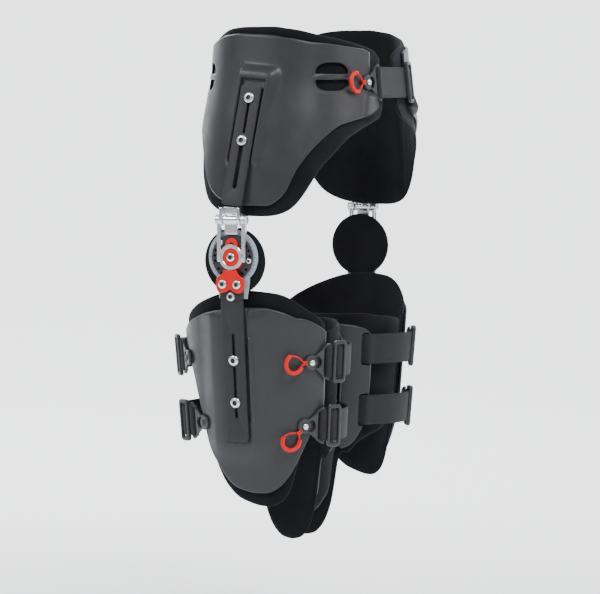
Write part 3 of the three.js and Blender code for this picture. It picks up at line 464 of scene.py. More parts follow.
def bar_frame():
    ends = []
    for z in (-GIRDLE_BELOW, -GIRDLE_BELOW + GIRDLE_BAR_LENGTH):
        end = girdle_point(0.0, z, BAR_LIFT)
        end[1] = lean_back(z)
        ends.append(Vector(end))
    up = (ends[1] - ends[0]).normalized()
    away = Vector((0, 1, 0)).cross(up).normalized()
    return axes(up.cross(away), up, away, ends[0])


GIRDLE_BAR = bar_frame()


# Flat plates from outlines
def arc(x, y, radius, first, last, count=12):
    turns = np.radians(np.linspace(first, last, count + 1))
    return [(x + radius * math.cos(t), y + radius * math.sin(t)) for t in turns]


def circle(radius, x=0, y=0, count=32):
    return arc(x, y, radius, 0, 360, count)[:-1]


def rounded_rect(x0, x1, y0, y1, corner, count=5):
    xs, ys = (x0 + corner, x1 - corner), (y0 + corner, y1 - corner)
    corners = ((1, 0, -90), (1, 1, 0), (0, 1, 90), (0, 0, 180))
    return [point for i, j, first in corners for point in arc(xs[i], ys[j], corner, first, first + 90, count)]


def bend(start, control, end, count=6):
    """Points after start on a curve to end that leans towards control."""
    return [tuple((1 - t) ** 2 * a + 2 * t * (1 - t) * c + t * t * b for a, c, b in zip(start, control, end))
            for t in (i / count for i in range(1, count + 1))]


def plate(outlines, low, thick, bevel=0.3, place=None, steps=2):
    """A plate with rounded edges from closed outlines; outlines inside the first one are holes."""
    curve = bpy.data.curves.new("plate", "CURVE")
    curve.dimensions = "2D"
    curve.fill_mode = "BOTH"
    for outline in outlines:
        spline = curve.splines.new("POLY")
        spline.points.add(len(outline) - 1)
        for point, (x, y) in zip(spline.points, outline):
            point.co = (x * MM, y * MM, 0, 1)
        spline.use_cyclic_u = True
    curve.extrude = (thick / 2 - bevel) * MM
    curve.bevel_depth = bevel * MM
    curve.bevel_resolution = steps
    curve.offset = -bevel * MM
    mesh = mesh_from(curve)
    mesh.transform((place or Matrix()) @ Matrix.Translation((0, 0, (low + thick / 2) * MM)))
    return mesh


def as_shown(obj):
    return obj.evaluated_get(bpy.context.evaluated_depsgraph_get())


def mesh_from(curve):
    """Turns a curve into a mesh and drops the curve."""
    obj = added("draft", curve)
    mesh = bpy.data.meshes.new_from_object(as_shown(obj))
    bpy.data.objects.remove(obj)
    bpy.data.curves.remove(curve)
    bm = bmesh.new()
    bm.from_mesh(mesh)
    bmesh.ops.remove_doubles(bm, verts=bm.verts, dist=1e-6)
    bm.to_mesh(mesh)
    bm.free()
    return mesh


def turned(profile, place, sides=32):
    """A round body from (radius, height) pairs, turned about the place's z axis."""
    angles = np.linspace(0, 2 * math.pi, sides, endpoint=False)
    points = [(r * math.cos(a), r * math.sin(a), h) for r, h in profile for a in angles]
    faces = []
    for i in range(len(profile) - 1):
        for j in range(sides):
            k = (j + 1) % sides
            faces.append((i * sides + j, i * sides + k, (i + 1) * sides + k, (i + 1) * sides + j))
    faces.append(tuple(range(sides))[::-1])
    faces.append(tuple(range((len(profile) - 1) * sides, len(profile) * sides)))
    mesh = mesh_of("turned", points, faces)
    mesh.transform(place)
    return mesh


def tube(points, radius, sides, resolution):
    """A round tube along a smooth path of points in millimetres."""
    curve = bpy.data.curves.new("tube", "CURVE")
    curve.dimensions = "3D"
    spline = curve.splines.new("NURBS")
    spline.points.add(len(points) - 1)
    for point, spot in zip(spline.points, points):
        point.co = (*(Vector(spot) * MM), 1)
    spline.order_u = 4
    spline.use_endpoint_u = True
    spline.resolution_u = resolution
    curve.bevel_depth = radius * MM
    curve.bevel_resolution = sides // 4
    curve.use_fill_caps = True
    return mesh_from(curve)


def joined(name, *meshes):
    bm = bmesh.new()
    for mesh in meshes:
        bm.from_mesh(mesh)
    out = bpy.data.meshes.new(name)
    bm.to_mesh(out)
    bm.free()
    return out


def edges_sharp(mesh, degrees=36):
    mesh.polygons.foreach_set("use_smooth", [True] * len(mesh.polygons))
    mesh.set_sharp_from_angle(angle=math.radians(degrees))
    return mesh


def screw(place, radius, high):
    """A button screw head on the place's plane; its socket takes the second material, a dark painted shade in
    the hollow.
    """
    profile = [(radius * 0.3, -1), (radius, -1), (radius, high * 0.35), (radius * 0.93, high * 0.7),
               (radius * 0.75, high * 0.95), (radius * 0.56, high), (radius * 0.5, high),
               (radius * 0.42, high * 0.25)]
    mesh = turned(profile, place, SCREW_SIDES)
    first = SCREW_SIDES * (len(profile) - 2)
    # The socket's faces take the painted shade
    for face in (*mesh.polygons[first:first + SCREW_SIDES], mesh.polygons[-1]):
        face.material_index = 1
    return mesh


# Materials
class Look:
    """A material and the few node calls that the looks below share."""

    def __init__(self, name, colour, roughness, metallic=0.0):
        self.material = bpy.data.materials.new(name)
        self.material.use_nodes = True
        self.tree = self.material.node_tree
        self.shader = self.tree.nodes["Principled BSDF"]
        self.height = None
        self.setting("Base Color", (*colour, 1))
        self.setting("Roughness", roughness)
        self.setting("Metallic", metallic)

    def setting(self, name, value):
        self.shader.inputs[name].default_value = value

    def node(self, kind, **settings):
        node = self.tree.nodes.new(kind)
        for key, value in settings.items():
            if key in node.inputs:
                node.inputs[key].default_value = value
            else:
                setattr(node, key, value)
        return node

    def link(self, source, target):
        self.tree.links.new(source, target)

    def place(self, kind="Object"):
        return self.node("ShaderNodeTexCoord").outputs[kind]

    def noise(self, scale, detail=3.0, where=None):
        node = self.node("ShaderNodeTexNoise", Scale=scale, Detail=detail)
        self.link(where or self.place(), node.inputs["Vector"])
        return node.outputs["Fac"]

    def ramp(self, value, low, high, at_low=0.0, at_high=1.0):
        node = self.node("ShaderNodeMapRange")
        self.link(value, node.inputs["Value"])
        for key, number in (("From Min", low), ("From Max", high), ("To Min", at_low), ("To Max", at_high)):
            node.inputs[key].default_value = number
        return node.outputs["Result"]

    def maths(self, operation, a, b):
        node = self.node("ShaderNodeMath", operation=operation)
        for k, value in enumerate((a, b)):
            if isinstance(value, (int, float)):
                node.inputs[k].default_value = value
            else:
                self.link(value, node.inputs[k])
        return node.outputs[0]

    def blend_colour(self, share, first, second):
        node = self.node("ShaderNodeMix", data_type="RGBA")
        self.link(share, node.inputs[0])
        for k, colour in ((6, first), (7, second)):
            if isinstance(colour, tuple):
                node.inputs[k].default_value = (*colour, 1)
            else:
                self.link(colour, node.inputs[k])
        return node.outputs[2]

    def base(self, colour):
        self.link(colour, self.shader.inputs["Base Color"])

    def rough(self, value):
        self.link(value, self.shader.inputs["Roughness"])

    def bump(self, height, distance, strength=1.0):
        node = self.node("ShaderNodeBump", Strength=strength, Distance=distance)
        self.link(height, node.inputs["Height"])
        if self.height is not None:
            self.link(self.height, node.inputs["Normal"])
        self.height = node.outputs["Normal"]
        self.link(self.height, self.shader.inputs["Normal"])


def shade(colour, share):
    return tuple(c * share for c in colour)


def moulded_plastic(name, colour, roughness, grain=0.00006):
    """Satin plastic with a fine spark-eroded grain and faint uneven gloss."""
    look = Look(name, colour, roughness)
    look.setting("Specular IOR Level", 0.36)
    look.base(look.blend_colour(look.noise(9.0), shade(colour, 0.86), shade(colour, 1.18)))
    look.rough(look.ramp(look.noise(60.0, 5.0), 0.3, 0.7, roughness - 0.05, roughness + 0.08))
    look.bump(look.noise(1900.0, 2.0), grain)
    look.bump(look.noise(22.0, 2.0), 0.0005, 0.25)
    return look.material


def velour(name, colour):
    """Short-pile knit on foam: dark, matt, with brushed patches and a soft sheen at the rims."""
    look = Look(name, colour, 0.95)
    brushed = look.noise(26.0, 4.0)
    look.base(look.blend_colour(look.ramp(brushed, 0.35, 0.65), colour, shade(colour, 1.9)))
    look.setting("Specular IOR Level", 0.15)
    look.setting("Sheen Weight", 0.1)
    look.setting("Sheen Roughness", 0.55)
    look.setting("Sheen Tint", (0.55, 0.57, 0.66, 1))
    look.bump(look.noise(1300.0, 3.0), 0.0003)
    look.bump(look.noise(45.0, 3.0), 0.0009, 0.5)
    return look.material


def powder_coat(name, colour):
    look = Look(name, colour, 0.52, 0.25)
    look.base(look.blend_colour(look.noise(30.0, 4.0), shade(colour, 0.9), shade(colour, 1.15)))
    look.bump(look.noise(2300.0, 3.0), 0.00008)
    look.bump(look.noise(420.0, 2.0), 0.00006)
    return look.material


def bright_metal(name, colour, roughness):
    """Zinc-plated steel with fine brushing and a few darker clouds."""
    look = Look(name, colour, roughness, 1.0)
    cloud = look.noise(90.0, 4.0)
    look.base(look.blend_colour(look.ramp(cloud, 0.35, 0.75), colour, shade(colour, 0.78)))
    look.rough(look.ramp(cloud, 0.3, 0.8, roughness, roughness + 0.16))
    stretch = look.node("ShaderNodeMapping", Scale=(1.0, 1.0, 0.06))
    look.link(look.place(), stretch.inputs["Vector"])
    look.bump(look.noise(2600.0, 2.0, stretch.outputs["Vector"]), 0.00003)
    return look.material


def woven(name, colour):
    """Narrow webbing: rows of picks across, ribs along, and a selvedge line near each edge. Its colour
    follows the weave: painted highlight on the crowns and painted shade in the grooves, with a random tone on
    top.
    """
    look = Look(name, colour, 0.82)
    split = look.node("ShaderNodeSeparateXYZ")
    look.link(look.place("UV"), split.inputs[0])
    along, across = split.outputs[0], split.outputs[1]
    pick = look.maths("SINE", look.maths("MULTIPLY", along, 2 * math.pi / 0.0013), 0)
    rib = look.maths("SINE", look.maths("MULTIPLY", across, 2 * math.pi / 0.0022), 0)
    weave = look.maths("MULTIPLY", look.maths("ADD", pick, look.maths("MULTIPLY", rib, 0.7)), 0.5)
    away = look.maths("ABSOLUTE", across, 0)
    edge = look.ramp(away, 0.0162, 0.0168)
    # Painted highlight on the weave's crowns and painted shade in its grooves, mixed with a random tone of
    # the yarn
    painted_weave_shade_and_tone = look.ramp(look.maths("ADD", weave, look.noise(70.0, 4.0)), -0.6, 1.6)
    look.base(look.blend_colour(painted_weave_shade_and_tone, shade(colour, 0.6), shade(colour, 1.6)))
    look.setting("Sheen Weight", 0.04)
    look.bump(weave, 0.00022)
    look.bump(edge, 0.0002, 0.6)
    return look.material


def coloured_plastic(name, colour, roughness, gloss=0.5):
    look = Look(name, colour, roughness)
    look.setting("Specular IOR Level", gloss)
    look.base(look.blend_colour(look.noise(40.0, 3.0), shade(colour, 0.9), colour))
    look.rough(look.ramp(look.noise(150.0, 4.0), 0.3, 0.7, roughness - 0.04, roughness + 0.08))
    look.bump(look.noise(1500.0, 2.0), 0.00004)
    return look.material


SHELL = moulded_plastic("shell_plastic", (0.027, 0.027, 0.0295), 0.38)
VELOUR = velour("liner_velour", (0.0035, 0.0035, 0.0045))
COAT = powder_coat("bar_coat", (0.018, 0.018, 0.0195))
METAL = bright_metal("bright_zinc", (0.88, 0.91, 0.92), 0.2)
RED = coloured_plastic("red_plastic", (0.66, 0.0025, 0.0008), 0.42, 0.3)
DIAL = coloured_plastic("dial_grey", (0.33, 0.39, 0.46), 0.38)
DARK = coloured_plastic("stop_plate", (0.022, 0.018, 0.021), 0.42)
FITTING = moulded_plastic("fitting_plastic", (0.034, 0.035, 0.038), 0.36, 0.00004)
# Painted shade: a near-black colour laid in the screw sockets where the hollow falls into shadow
SOCKET_SHADE = coloured_plastic("screw_socket_shade", (0.05, 0.05, 0.055), 0.45)
WEB = woven("black_webbing", (0.009, 0.009, 0.0105))


# Girdle shells
def turn_at(y, half_depth, squareness):
    share = np.clip(-y / half_depth, -1, 1)
    return np.degrees(np.arcsin(np.sign(share) * np.abs(share) ** (squareness / 2)))


def girdle_half_depth(z):
    return mix(HIP_HALF_DEPTH, WAIST_HALF_DEPTH, girdle_inward(z))


def smoothstep(low, high, x):
    t = np.clip((x - low) / (high - low), 0, 1)
    return t * t * (3 - 2 * t)


def girdle_turn(column, z):
    """Columns near the bar run along it, and the rest straight up."""
    level = girdle_point(column, 0.0, 0.0)[..., 1]
    along_bar = turn_at(level + lean_back(z), girdle_half_depth(z), GIRDLE_SQUARENESS)
    return mix(column, along_bar, 1 - smoothstep(45, 90, np.abs(level)))


def spread(point, z, first, last, step):
    turns = np.linspace(first, last, 900)
    arcs = travelled(point(turns, z, 0.0))
    return np.interp(np.linspace(0, arcs[-1], max(2, int(arcs[-1] / step))), arcs, turns)


def columns_past(point, z, first, last, levels, half_depth, squareness, step):
    """Columns of a wall: closely set at the given levels of y, and evenly spaced beside them."""
    fine = turn_at(np.sort(np.asarray(levels))[::-1], half_depth, squareness)
    before = spread(point, z, first, fine[0], step)[:-1]
    after = spread(point, z, fine[-1], last, step)[1:]
    return np.concatenate([before, fine, after])


def edge_of(table, high_at, low_at):
    """The low and high edge of a wall at a turn, from a table of shares."""
    rows = np.array(table)

    def edge(turn):
        held = np.clip(turn, rows[0, 0], rows[-1, 0])
        high, low = (curve_through(rows[:, 0], rows[:, k], held) for k in (1, 2))
        return low_at(low), high_at(high)

    return edge


def local(place, points):
    back = np.array(place.inverted())
    return points @ back[:3, :3].T + back[:3, 3] / MM


def soft_least(sharp, *heights):
    stack = np.stack(np.broadcast_arrays(*heights))
    return -np.logaddexp.reduce(-stack / sharp) * sharp


def girdle_boss(turn, z):
    """How far the raised seat of the bar stands above the girdle wall."""
    x, y, out = np.moveaxis(local(GIRDLE_BAR, girdle_point(turn, z, 0.0)), -1, 0)
    up = y / GIRDLE_BAR_LENGTH
    shares, flanks, crests = np.transpose(SEAT_FLANK)
    widen = np.interp(up, shares, flanks)
    crest = np.interp(up, shares, crests)
    half = GIRDLE_BAR_WIDTH / 2 + CHANNEL_GAP
    fall = BAR_THICK + BAR_LIFT + 3 * GIRDLE_PLASTIC
    front = BAR_THICK - fall * (-x - half - crest) / (4 + widen - crest)
    back = BAR_THICK - fall * (x - half - 4) / 3
    top = BAR_THICK - fall * (y - 1.15 * GIRDLE_BAR_LENGTH) / 12
    foot = BAR_THICK - fall * (0.37 * GIRDLE_BAR_LENGTH - y) / 18
    corners = soft_least(4.0, front, top), soft_least(2.5, back, top)
    height = soft_least(1.6, BAR_THICK + 1.6 + 0 * x, *corners, foot)
    beyond = np.maximum(9 * (np.abs(x) - half), 2.5 * (y - GIRDLE_BAR_LENGTH - CHANNEL_END))
    height = np.minimum(height, np.maximum(beyond, 0) - SEAT_GAP)
    return np.maximum(soft_rise(height - out, 1.6), 0)


def soft_rise(amount, reach):
    """Nothing below zero, the amount less the reach well above it, and a smooth fillet between."""
    return reach * np.logaddexp(0, amount / reach - 1.0)


def lobe(towards):
    half = LOBE_LENGTH / 2
    turns = np.radians(np.linspace(0, 180, 33))
    across = half * np.sign(np.cos(turns)) * np.abs(np.cos(turns)) ** 0.8
    up = LOBE_ARCH * np.sin(turns) ** 0.8
    outline = [(-half + 1.2, 0), (half - 1.2, 0), *zip(across, up + 0.6)]
    return np.array(outline) * (1, towards)


def girdle_shell():
    half = GIRDLE_BAR_WIDTH / 2 + CHANNEL_GAP
    levels = np.concatenate([np.arange(-45, 46, 1.0), [-half - 0.5, -half, half, half + 0.5]])
    columns = columns_past(girdle_point, 0.0, -75, 75, levels, girdle_half_depth(0.0), GIRDLE_SQUARENESS,
                           COLUMN_STEP)
    edge = edge_of(GIRDLE_EDGE, lambda share: GIRDLE_ABOVE * share, lambda share: -GIRDLE_BELOW * share)
    holes = [(turn, LOBE_RISE + towards * LOBE_BRIDGE / 2, lobe(towards))
             for turn in (LOBE_TURN, -LOBE_TURN) for towards in (1, -1)]
    return wall("girdle_shell", girdle_point, columns, girdle_turn, edge, -GIRDLE_PLASTIC, GIRDLE_PLASTIC,
                108, SHELL_RIM, holes, girdle_boss)


def straight_up(column, z):
    return column + 0 * z


def liner(name, point, columns, edge, base, rows):
    """A foam wall whose outermost cells taper to a soft nose, swollen a little and smoothed."""
    slack = PUFF / 2
    foam = wall(name, point, columns, straight_up, edge, base + slack, LINER_THICK - PUFF, rows, 1.2)
    return rounded_off(puffed(foam))


def puffed(mesh):
    """Cloth under gentle pressure, with each point held within the foam's own thickness."""
    scene = bpy.context.scene
    obj = added("draft", mesh)
    cloth = obj.modifiers.new("cloth", "CLOTH")
    cloth.settings.use_pressure = True
    cloth.settings.uniform_pressure_force = 4
    cloth.settings.effector_weights.gravity = 0
    cloth.point_cache.frame_end = PUFF_FRAMES
    for step in range(1, PUFF_FRAMES + 1):
        scene.frame_set(step)
    made = as_shown(obj)
    rest = np.zeros(3 * len(mesh.vertices))
    blown = rest.copy()
    mesh.vertices.foreach_get("co", rest)
    made.data.vertices.foreach_get("co", blown)
    move = (blown - rest).reshape(-1, 3)
    far = np.linalg.norm(move, axis=1, keepdims=True)
    move *= np.minimum(1, PUFF * MM / np.maximum(far, 1e-9))
    bpy.data.objects.remove(obj)
    scene.frame_set(1)
    mesh.vertices.foreach_set("co", rest + move.ravel())
    return mesh


def rounded_off(mesh):
    """One round of subdivision."""
    obj = added("draft", mesh)
    obj.modifiers.new("smooth", "SUBSURF").levels = 1
    smooth = bpy.data.meshes.new_from_object(as_shown(obj))
    smooth.name = mesh.name
    bpy.data.objects.remove(obj)
    return smooth


def girdle_liner():
    columns = spread(girdle_point, -40.0, -85, 86, 5.0)
    reach = GIRDLE_ABOVE + GIRDLE_LINER_MARGIN, GIRDLE_BELOW + GIRDLE_LINER_MARGIN
    edge = edge_of(GIRDLE_LINER_EDGE, lambda share: reach[0] * share, lambda share: -reach[1] * share)
    return liner("girdle_liner", girdle_point, columns, edge, -GIRDLE_PLASTIC - LINER_GAP - LINER_THICK, 44)


# Thigh cuffs
def cuff_drop(margin, share):
    return -(CUFF_TOP_DROP - margin + (CUFF_HEIGHT + 2 * margin) * share)


def cuff_edge(table, margin):
    return edge_of(table, lambda share: cuff_drop(margin, share), lambda share: cuff_drop(margin, share))


def cuff_half_depth(z):
    return mix(CUFF_TOP_HALF_DEPTH, CUFF_LOW_HALF_DEPTH, (-z - CUFF_TOP_DROP) / CUFF_HEIGHT)


def cuff_turn(column, z):
    level = cuff_point(column, -CUFF_TOP_DROP, 0.0)[..., 1] - HINGE_BACK - CUFF_BACK
    along_bar = turn_at(level, cuff_half_depth(z), CUFF_SQUARENESS)
    return mix(column, along_bar, 1 - smoothstep(32, 62, np.abs(level)))


def thigh_boss(turn, z):
    """A low swell that carries the thigh bar, with a narrow rib along the bar's front edge."""
    x, y, out = np.moveaxis(local(BLADE, cuff_point(turn, z, 0.0)), -1, 0)
    half = THIGH_BAR_WIDTH / 2 + SEAT_GAP
    beyond = np.maximum(np.abs(x) - half, 0)
    past = np.maximum(-THIGH_BAR_LENGTH - 1 - y, 0)
    swell = np.clip(0.4 - out, 0, 9) * (1 - smoothstep(0, np.where(x > 0, 42, 30), beyond))
    swell *= (1 - smoothstep(0, 34, past)) * (1 - smoothstep(-26, -4, y))
    seated = (beyond == 0) & (past == 0)
    swell = np.where(seated, np.clip(-SEAT_GAP - out, 0, 9), swell)
    rib_end = np.minimum(-47 - y, y + 150)
    rib = 2.6 * smoothstep(0, 3, rib_end) * (1 - smoothstep(1.0, 2.8, np.abs(-x - half - 3.2)))
    return swell + rib


def thigh_shell():
    half = THIGH_BAR_WIDTH / 2 + SEAT_GAP
    levels = np.concatenate([np.arange(-31, 32, 1.0), [-half - 0.2, -half + 0.2, half - 0.2, half + 0.2]])
    levels -= CUFF_BACK
    columns = columns_past(cuff_point, -CUFF_TOP_DROP, -66, 74, levels, CUFF_TOP_HALF_DEPTH,
                           CUFF_SQUARENESS, COLUMN_STEP)
    return wall("thigh_shell", cuff_point, columns, cuff_turn, cuff_edge(CUFF_EDGE, 0), -CUFF_PLASTIC,
                CUFF_PLASTIC, 112, SHELL_RIM, (), thigh_boss)


def thigh_liner():
    columns = spread(cuff_point, -170.0, -72, 76, 5.0)
    base = -CUFF_PLASTIC - LINER_GAP - LINER_THICK
    return liner("thigh_liner", cuff_point, columns, cuff_edge(CUFF_LINER_EDGE, CUFF_LINER_MARGIN), base, 50)


def inner_edge(table, margin):
    """The edge of an inner piece, alike on both sides of its middle."""
    rows = np.array(sorted(table))

    def edge(turn):
        apart = np.clip(np.abs(turn - 180), 0, rows[-1, 0])
        low, tongue, high = (curve_through(rows[:, 0], rows[:, k], apart) for k in (2, 3, 1))
        return cuff_drop(margin, low) - (TONGUE_LENGTH + margin) * tongue, cuff_drop(margin, high)

    return edge


def inner_shell():
    columns = spread(cuff_point, -170.0, 180 - 56, 180 + 56, 1.7)
    slot = np.array(rounded_rect(-5.5, 5.5, -20.5, 20.5, 3.5))
    holes = [(180.0 + apart, -float(drop), slot) for _, drop, _, _ in CUFF_STRAPS for apart in INNER_SLOTS]
    edge = inner_edge(INNER_SHELL_EDGE, 0)
    return wall("inner_shell", cuff_point, columns, straight_up, edge, -CUFF_PLASTIC,
                CUFF_PLASTIC, 118, SHELL_RIM, holes)


def inner_liner():
    columns = spread(cuff_point, -170.0, 180 - 100, 180 + 100, 4.4)
    base = -CUFF_PLASTIC - 2 * WEBBING_ROOM - WEBBING_THICK - LINER_THICK
    edge = inner_edge(INNER_LINER_EDGE, CUFF_LINER_MARGIN)
    return liner("inner_liner", cuff_point, columns, edge, base, 52)


pair("girdle_shell", girdle_shell(), SHELL, "root", "shell", ("girdle_shell",))
pair("thigh_shell", thigh_shell(), SHELL, "thigh", "shell", ("thigh_shell",))
pair("inner_shell", inner_shell(), SHELL, "thigh", "shell", ("inner_shell",))
for name, make, body in (("girdle_liner", girdle_liner, "root"), ("thigh_liner", thigh_liner, "thigh"),
                         ("inner_liner", inner_liner, "thigh")):
    for piece in pair(name, make(), VELOUR, body, "liner", (name,)):
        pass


# Bars
def slotted_bar(width, length, slots, corner, place, downward):
    """A flat bar; slots are (from, to, width), the first two as shares of its length."""
    sign = -1 if downward else 1
    outline = rounded_rect(-width / 2, width / 2, 0, length, corner)
    cuts = [rounded_rect(-w / 2, w / 2, a * length, b * length, w / 2 - 0.01, 8) for a, b, w in slots]
    flipped = [[(x, sign * y) for x, y in points] for points in (outline, *cuts)]
    return plate(flipped, 0, BAR_THICK, 0.6, place)


def screw_heads(name, heads, body):
    """Screw heads on both sides, bright, with painted shade in their sockets."""
    mesh = edges_sharp(joined(name, *heads))
    mesh.materials.append(METAL)
    mesh.materials.append(SOCKET_SHADE)
    return pair(name, mesh, METAL, body, "zinc")


def bar_screws(place, heights):
    return [screw(at(place, 0, height, BAR_THICK), BAR_SCREW_RADIUS, BAR_SCREW_HIGH) for height in heights]


upper_bar = slotted_bar(GIRDLE_BAR_WIDTH, GIRDLE_BAR_LENGTH, GIRDLE_BAR_SLOTS, 3, GIRDLE_BAR, False)
hard_pair("girdle_bar", upper_bar, COAT, "root", "bar", "girdle_bar")
screw_heads("girdle_bar_screws", bar_screws(GIRDLE_BAR, GIRDLE_BAR_SCREWS), "root")

head_half = THIGH_BAR_WIDTH / 2
head = plate([rounded_rect(-head_half, head_half, -BAR_BEND - 1.5, -BAR_HEAD, 1.5)], DISC_LAYER, 5.1,
             0.6, HINGE)
blade = slotted_bar(THIGH_BAR_WIDTH, THIGH_BAR_LENGTH, THIGH_BAR_SLOTS, 5, BLADE, True)
hard_pair("thigh_bar", joined("thigh_bar", head, blade), COAT, "thigh", "bar", "thigh_bar")
screw_heads("thigh_bar_screws", bar_screws(BLADE, THIGH_BAR_SCREWS), "thigh")


# Hip hinge
def rod(x0, x1, radius):
    """A round rod on the abduction pin's axis, with softened ends."""
    turn = at(HINGE, x0, CLEVIS_RISE, PIN_OUT) @ Matrix.Rotation(math.pi / 2, 4, "Y")
    span = x1 - x0
    return turned([(radius - 0.5, 0), (radius, 0.5), (radius, span - 0.5), (radius - 0.5, span)], turn, 28)


def clevis():
    """Base plate under the girdle bar with two upright ears that take the pin."""
    low, high = CLEVIS_RISE + 6.6, 60.2
    base = plate([rounded_rect(-13.4, 13.4, low, high, 1.5)], -8.2, 6.6, 0.7, HINGE)
    ears = []
    side_view = HINGE @ Matrix(((0, 0, 1, 0), (0, 1, 0, 0), (-1, 0, 0, 0), (0, 0, 0, 1)))
    outline = arc(-PIN_OUT, CLEVIS_RISE, 7.1, 180, 360, 20) + [(7.1 - PIN_OUT, high - 4)]
    outline += arc(3.1 - PIN_OUT, high - 4, 4, 0, 90, 6) + arc(-5.6 - PIN_OUT, high - 1.5, 1.5, 90, 180, 4)
    for x in (-13.6, 10.6):
        ears.append(plate([outline, circle(4.5, -PIN_OUT, CLEVIS_RISE)], x, 3.0, 0.6, side_view))
    return joined("clevis", base, *ears)


def stirrup():
    """Forked link: a head tube on the pin, a tab in the middle and two arms that hook round the dial."""
    parts = []
    for side in (-1, 1):
        x0, x1 = (14, 19) if side > 0 else (-19, -14)
        parts.append(plate([rounded_rect(x0, x1, -6, CLEVIS_RISE, 2.4)], ARM_LAYER, ARM_THICK, 0.6, HINGE))
        face = rounded_rect(x0 + 1, x1 - 1, 2, CLEVIS_RISE, 1.4)
        parts.append(plate([face], ARM_LAYER - 4.4, 4.6, 0.4, HINGE))
        parts.append(rod(x0, x1, 6))
    parts.append(plate([rounded_rect(-8.6, 8.6, 27.5, CLEVIS_RISE, 2)], ARM_LAYER, ARM_THICK, 0.6, HINGE))
    parts.append(rod(-8.8, 8.8, 6))
    half = PIN_LENGTH / 2
    parts.append(rod(-half, half, PIN_RADIUS))
    for x0, x1 in ((-half, -half + 1.8), (half - 1.8, half)):
        parts.append(rod(x0, x1, 5.6))
    return joined("stirrup", *parts)


def ring_of_holes():
    return [circle(1.7, 23.4 * math.cos(a), 23.4 * math.sin(a), 12)
            for a in np.radians([-72, -55, -38, -12, 4, 20, 36, 144, 160, 176, 218, 236, 252])]


hard_pair("clevis", clevis(), METAL, "root", "zinc", "clevis_bracket")
hard_pair("stirrup", stirrup(), METAL, "link", "zinc", "hinge_stirrup")

stop_plate = plate([circle(27.3, 0, 0, 64), circle(4.3), *ring_of_holes()], DISC_LAYER, DISC_THICK,
                   0.3, HINGE)
hard_pair("stop_plate", stop_plate, DARK, "link", "stop_disc", "stop_disc")

lug = arc(0, 15, 8.2, -8, 188, 24) + arc(0, 0, 16.6, 150, 390, 40)
collar = plate([lug, circle(2.7, 0, 15, 20), circle(10.6)], DISC_LAYER + DISC_THICK, 1.8, 0.4, HINGE)
hard_pair("stop_collar", collar, RED, "link", "red")
silver = turned([(10.9, -0.6), (10.9, 1.9), (11.4, 2.4), (14.9, 2.4), (15.4, 1.9), (15.4, -0.6)], HINGE, 56)
hard_pair("stop_ring", silver, METAL, "link", "zinc")
hub = turned([(4.2, -4), (10.6, -4), (10.6, 1.3), (10.1, 1.8), (6.0, 1.8), (6.0, 0.8)], HINGE, 56)
hard_pair("pivot_hub", hub, RED, "link", "red", "pivot_screw")
screw_heads("pivot_bolt", [screw(at(HINGE, 0, 0, 0.9), 5.5, 2.6)], "link")
stops = [screw(at(HINGE, x, y, DISC_LAYER + DISC_THICK), 3.3, 2.2) for x, y in STOP_SCREWS]
screw_heads("stop_screws", stops, "link")

tail = 19
dial = arc(0, 0, 33, -48, 228, 72)
dial += bend(dial[-1], (-22, -31), (-tail - 1, -42)) + bend((-tail - 1, -42), (-tail, -46), (-tail, -50))
dial += [(tail, -50), *bend((tail, -50), (tail, -46), (tail + 1, -42))]
dial += bend((tail + 1, -42), (22, -31), dial[0])
dial_plate = plate([dial, circle(25.6, 0, 0, 64)], DIAL_LAYER, DIAL_THICK, 0.4, HINGE)
hard_pair("dial", dial_plate, DIAL, "thigh", "dial", "dial_plate")


def tick_marks():
    marks = []
    for k, angle in enumerate(range(-45, 226, 9)):
        long_mark = 3.8 if k % 5 == 0 else 2.4
        outline = [(28.0, -0.3), (28.0 + long_mark, -0.3), (28.0 + long_mark, 0.3), (28.0, 0.3)]
        turn = Matrix.Rotation(math.radians(angle), 4, "Z")
        marks.append(plate([outline], DIAL_LAYER + DIAL_THICK - 0.1, 0.16, 0.02, HINGE @ turn, 1))
    return joined("tick_marks", *marks)


pair("tick_marks", tick_marks(), DARK, "thigh", "stop_disc")


def butterfly():
    """Cover over the bar's head: a neck towards the pivot, two rounded wings and a notch below."""
    half = [(9, -15.5), *bend((9, -15.5), (9.5, -20), (14, -22.5))]
    half += bend((14, -22.5), (19.5, -25), (19, -31))
    half += bend((19, -31), (18.6, -42.6), (12.5, -43.2)) + bend((12.5, -43.2), (6.5, -43.4), (0, -38.2))
    return half + [(-x, y) for x, y in half[-2::-1]]


cover = edges_sharp(plate([butterfly()], ARM_LAYER + ARM_THICK + 0.3, 3.4, 0.9, HINGE))
pair("hinge_cover", cover, RED, "thigh", "red", ("hinge_cover",))
cover_screws = [screw(at(HINGE, x, -32.5, 4.7), 5.4, 2.0) for x in (-9.6, 9.6)]
cover_screws.append(screw(at(HINGE, 0, -47.5, 1.0), 5.4, 2.6))
screw_heads("cover_screws", cover_screws, "thigh")


def hinge_pad():
    """Round foam pad with a soft shoulder."""
    back = DIAL_LAYER - 0.3 - 6
    shoulder = [(40.6 - 2.4 * (1 - math.cos(t)), 3 - 2.7 * math.sin(t)) for t in np.linspace(-1.35, 1.35, 10)]
    rise = [(r, 5.85) for r in (8, 16, 24, 31, 36)]
    fall = [(r, 0.15) for r in (36, 31, 24, 16, 8)]
    return turned(rise + shoulder + fall, at(HINGE, 0, -5, back), 72)


for piece in pair("hinge_pad", hinge_pad(), VELOUR, "thigh", "liner", ("hinge_pad",)):
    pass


# Straps, brackets, buckles and pull loops
TURN_OVER = Matrix.Rotation(math.pi, 4, "Z")


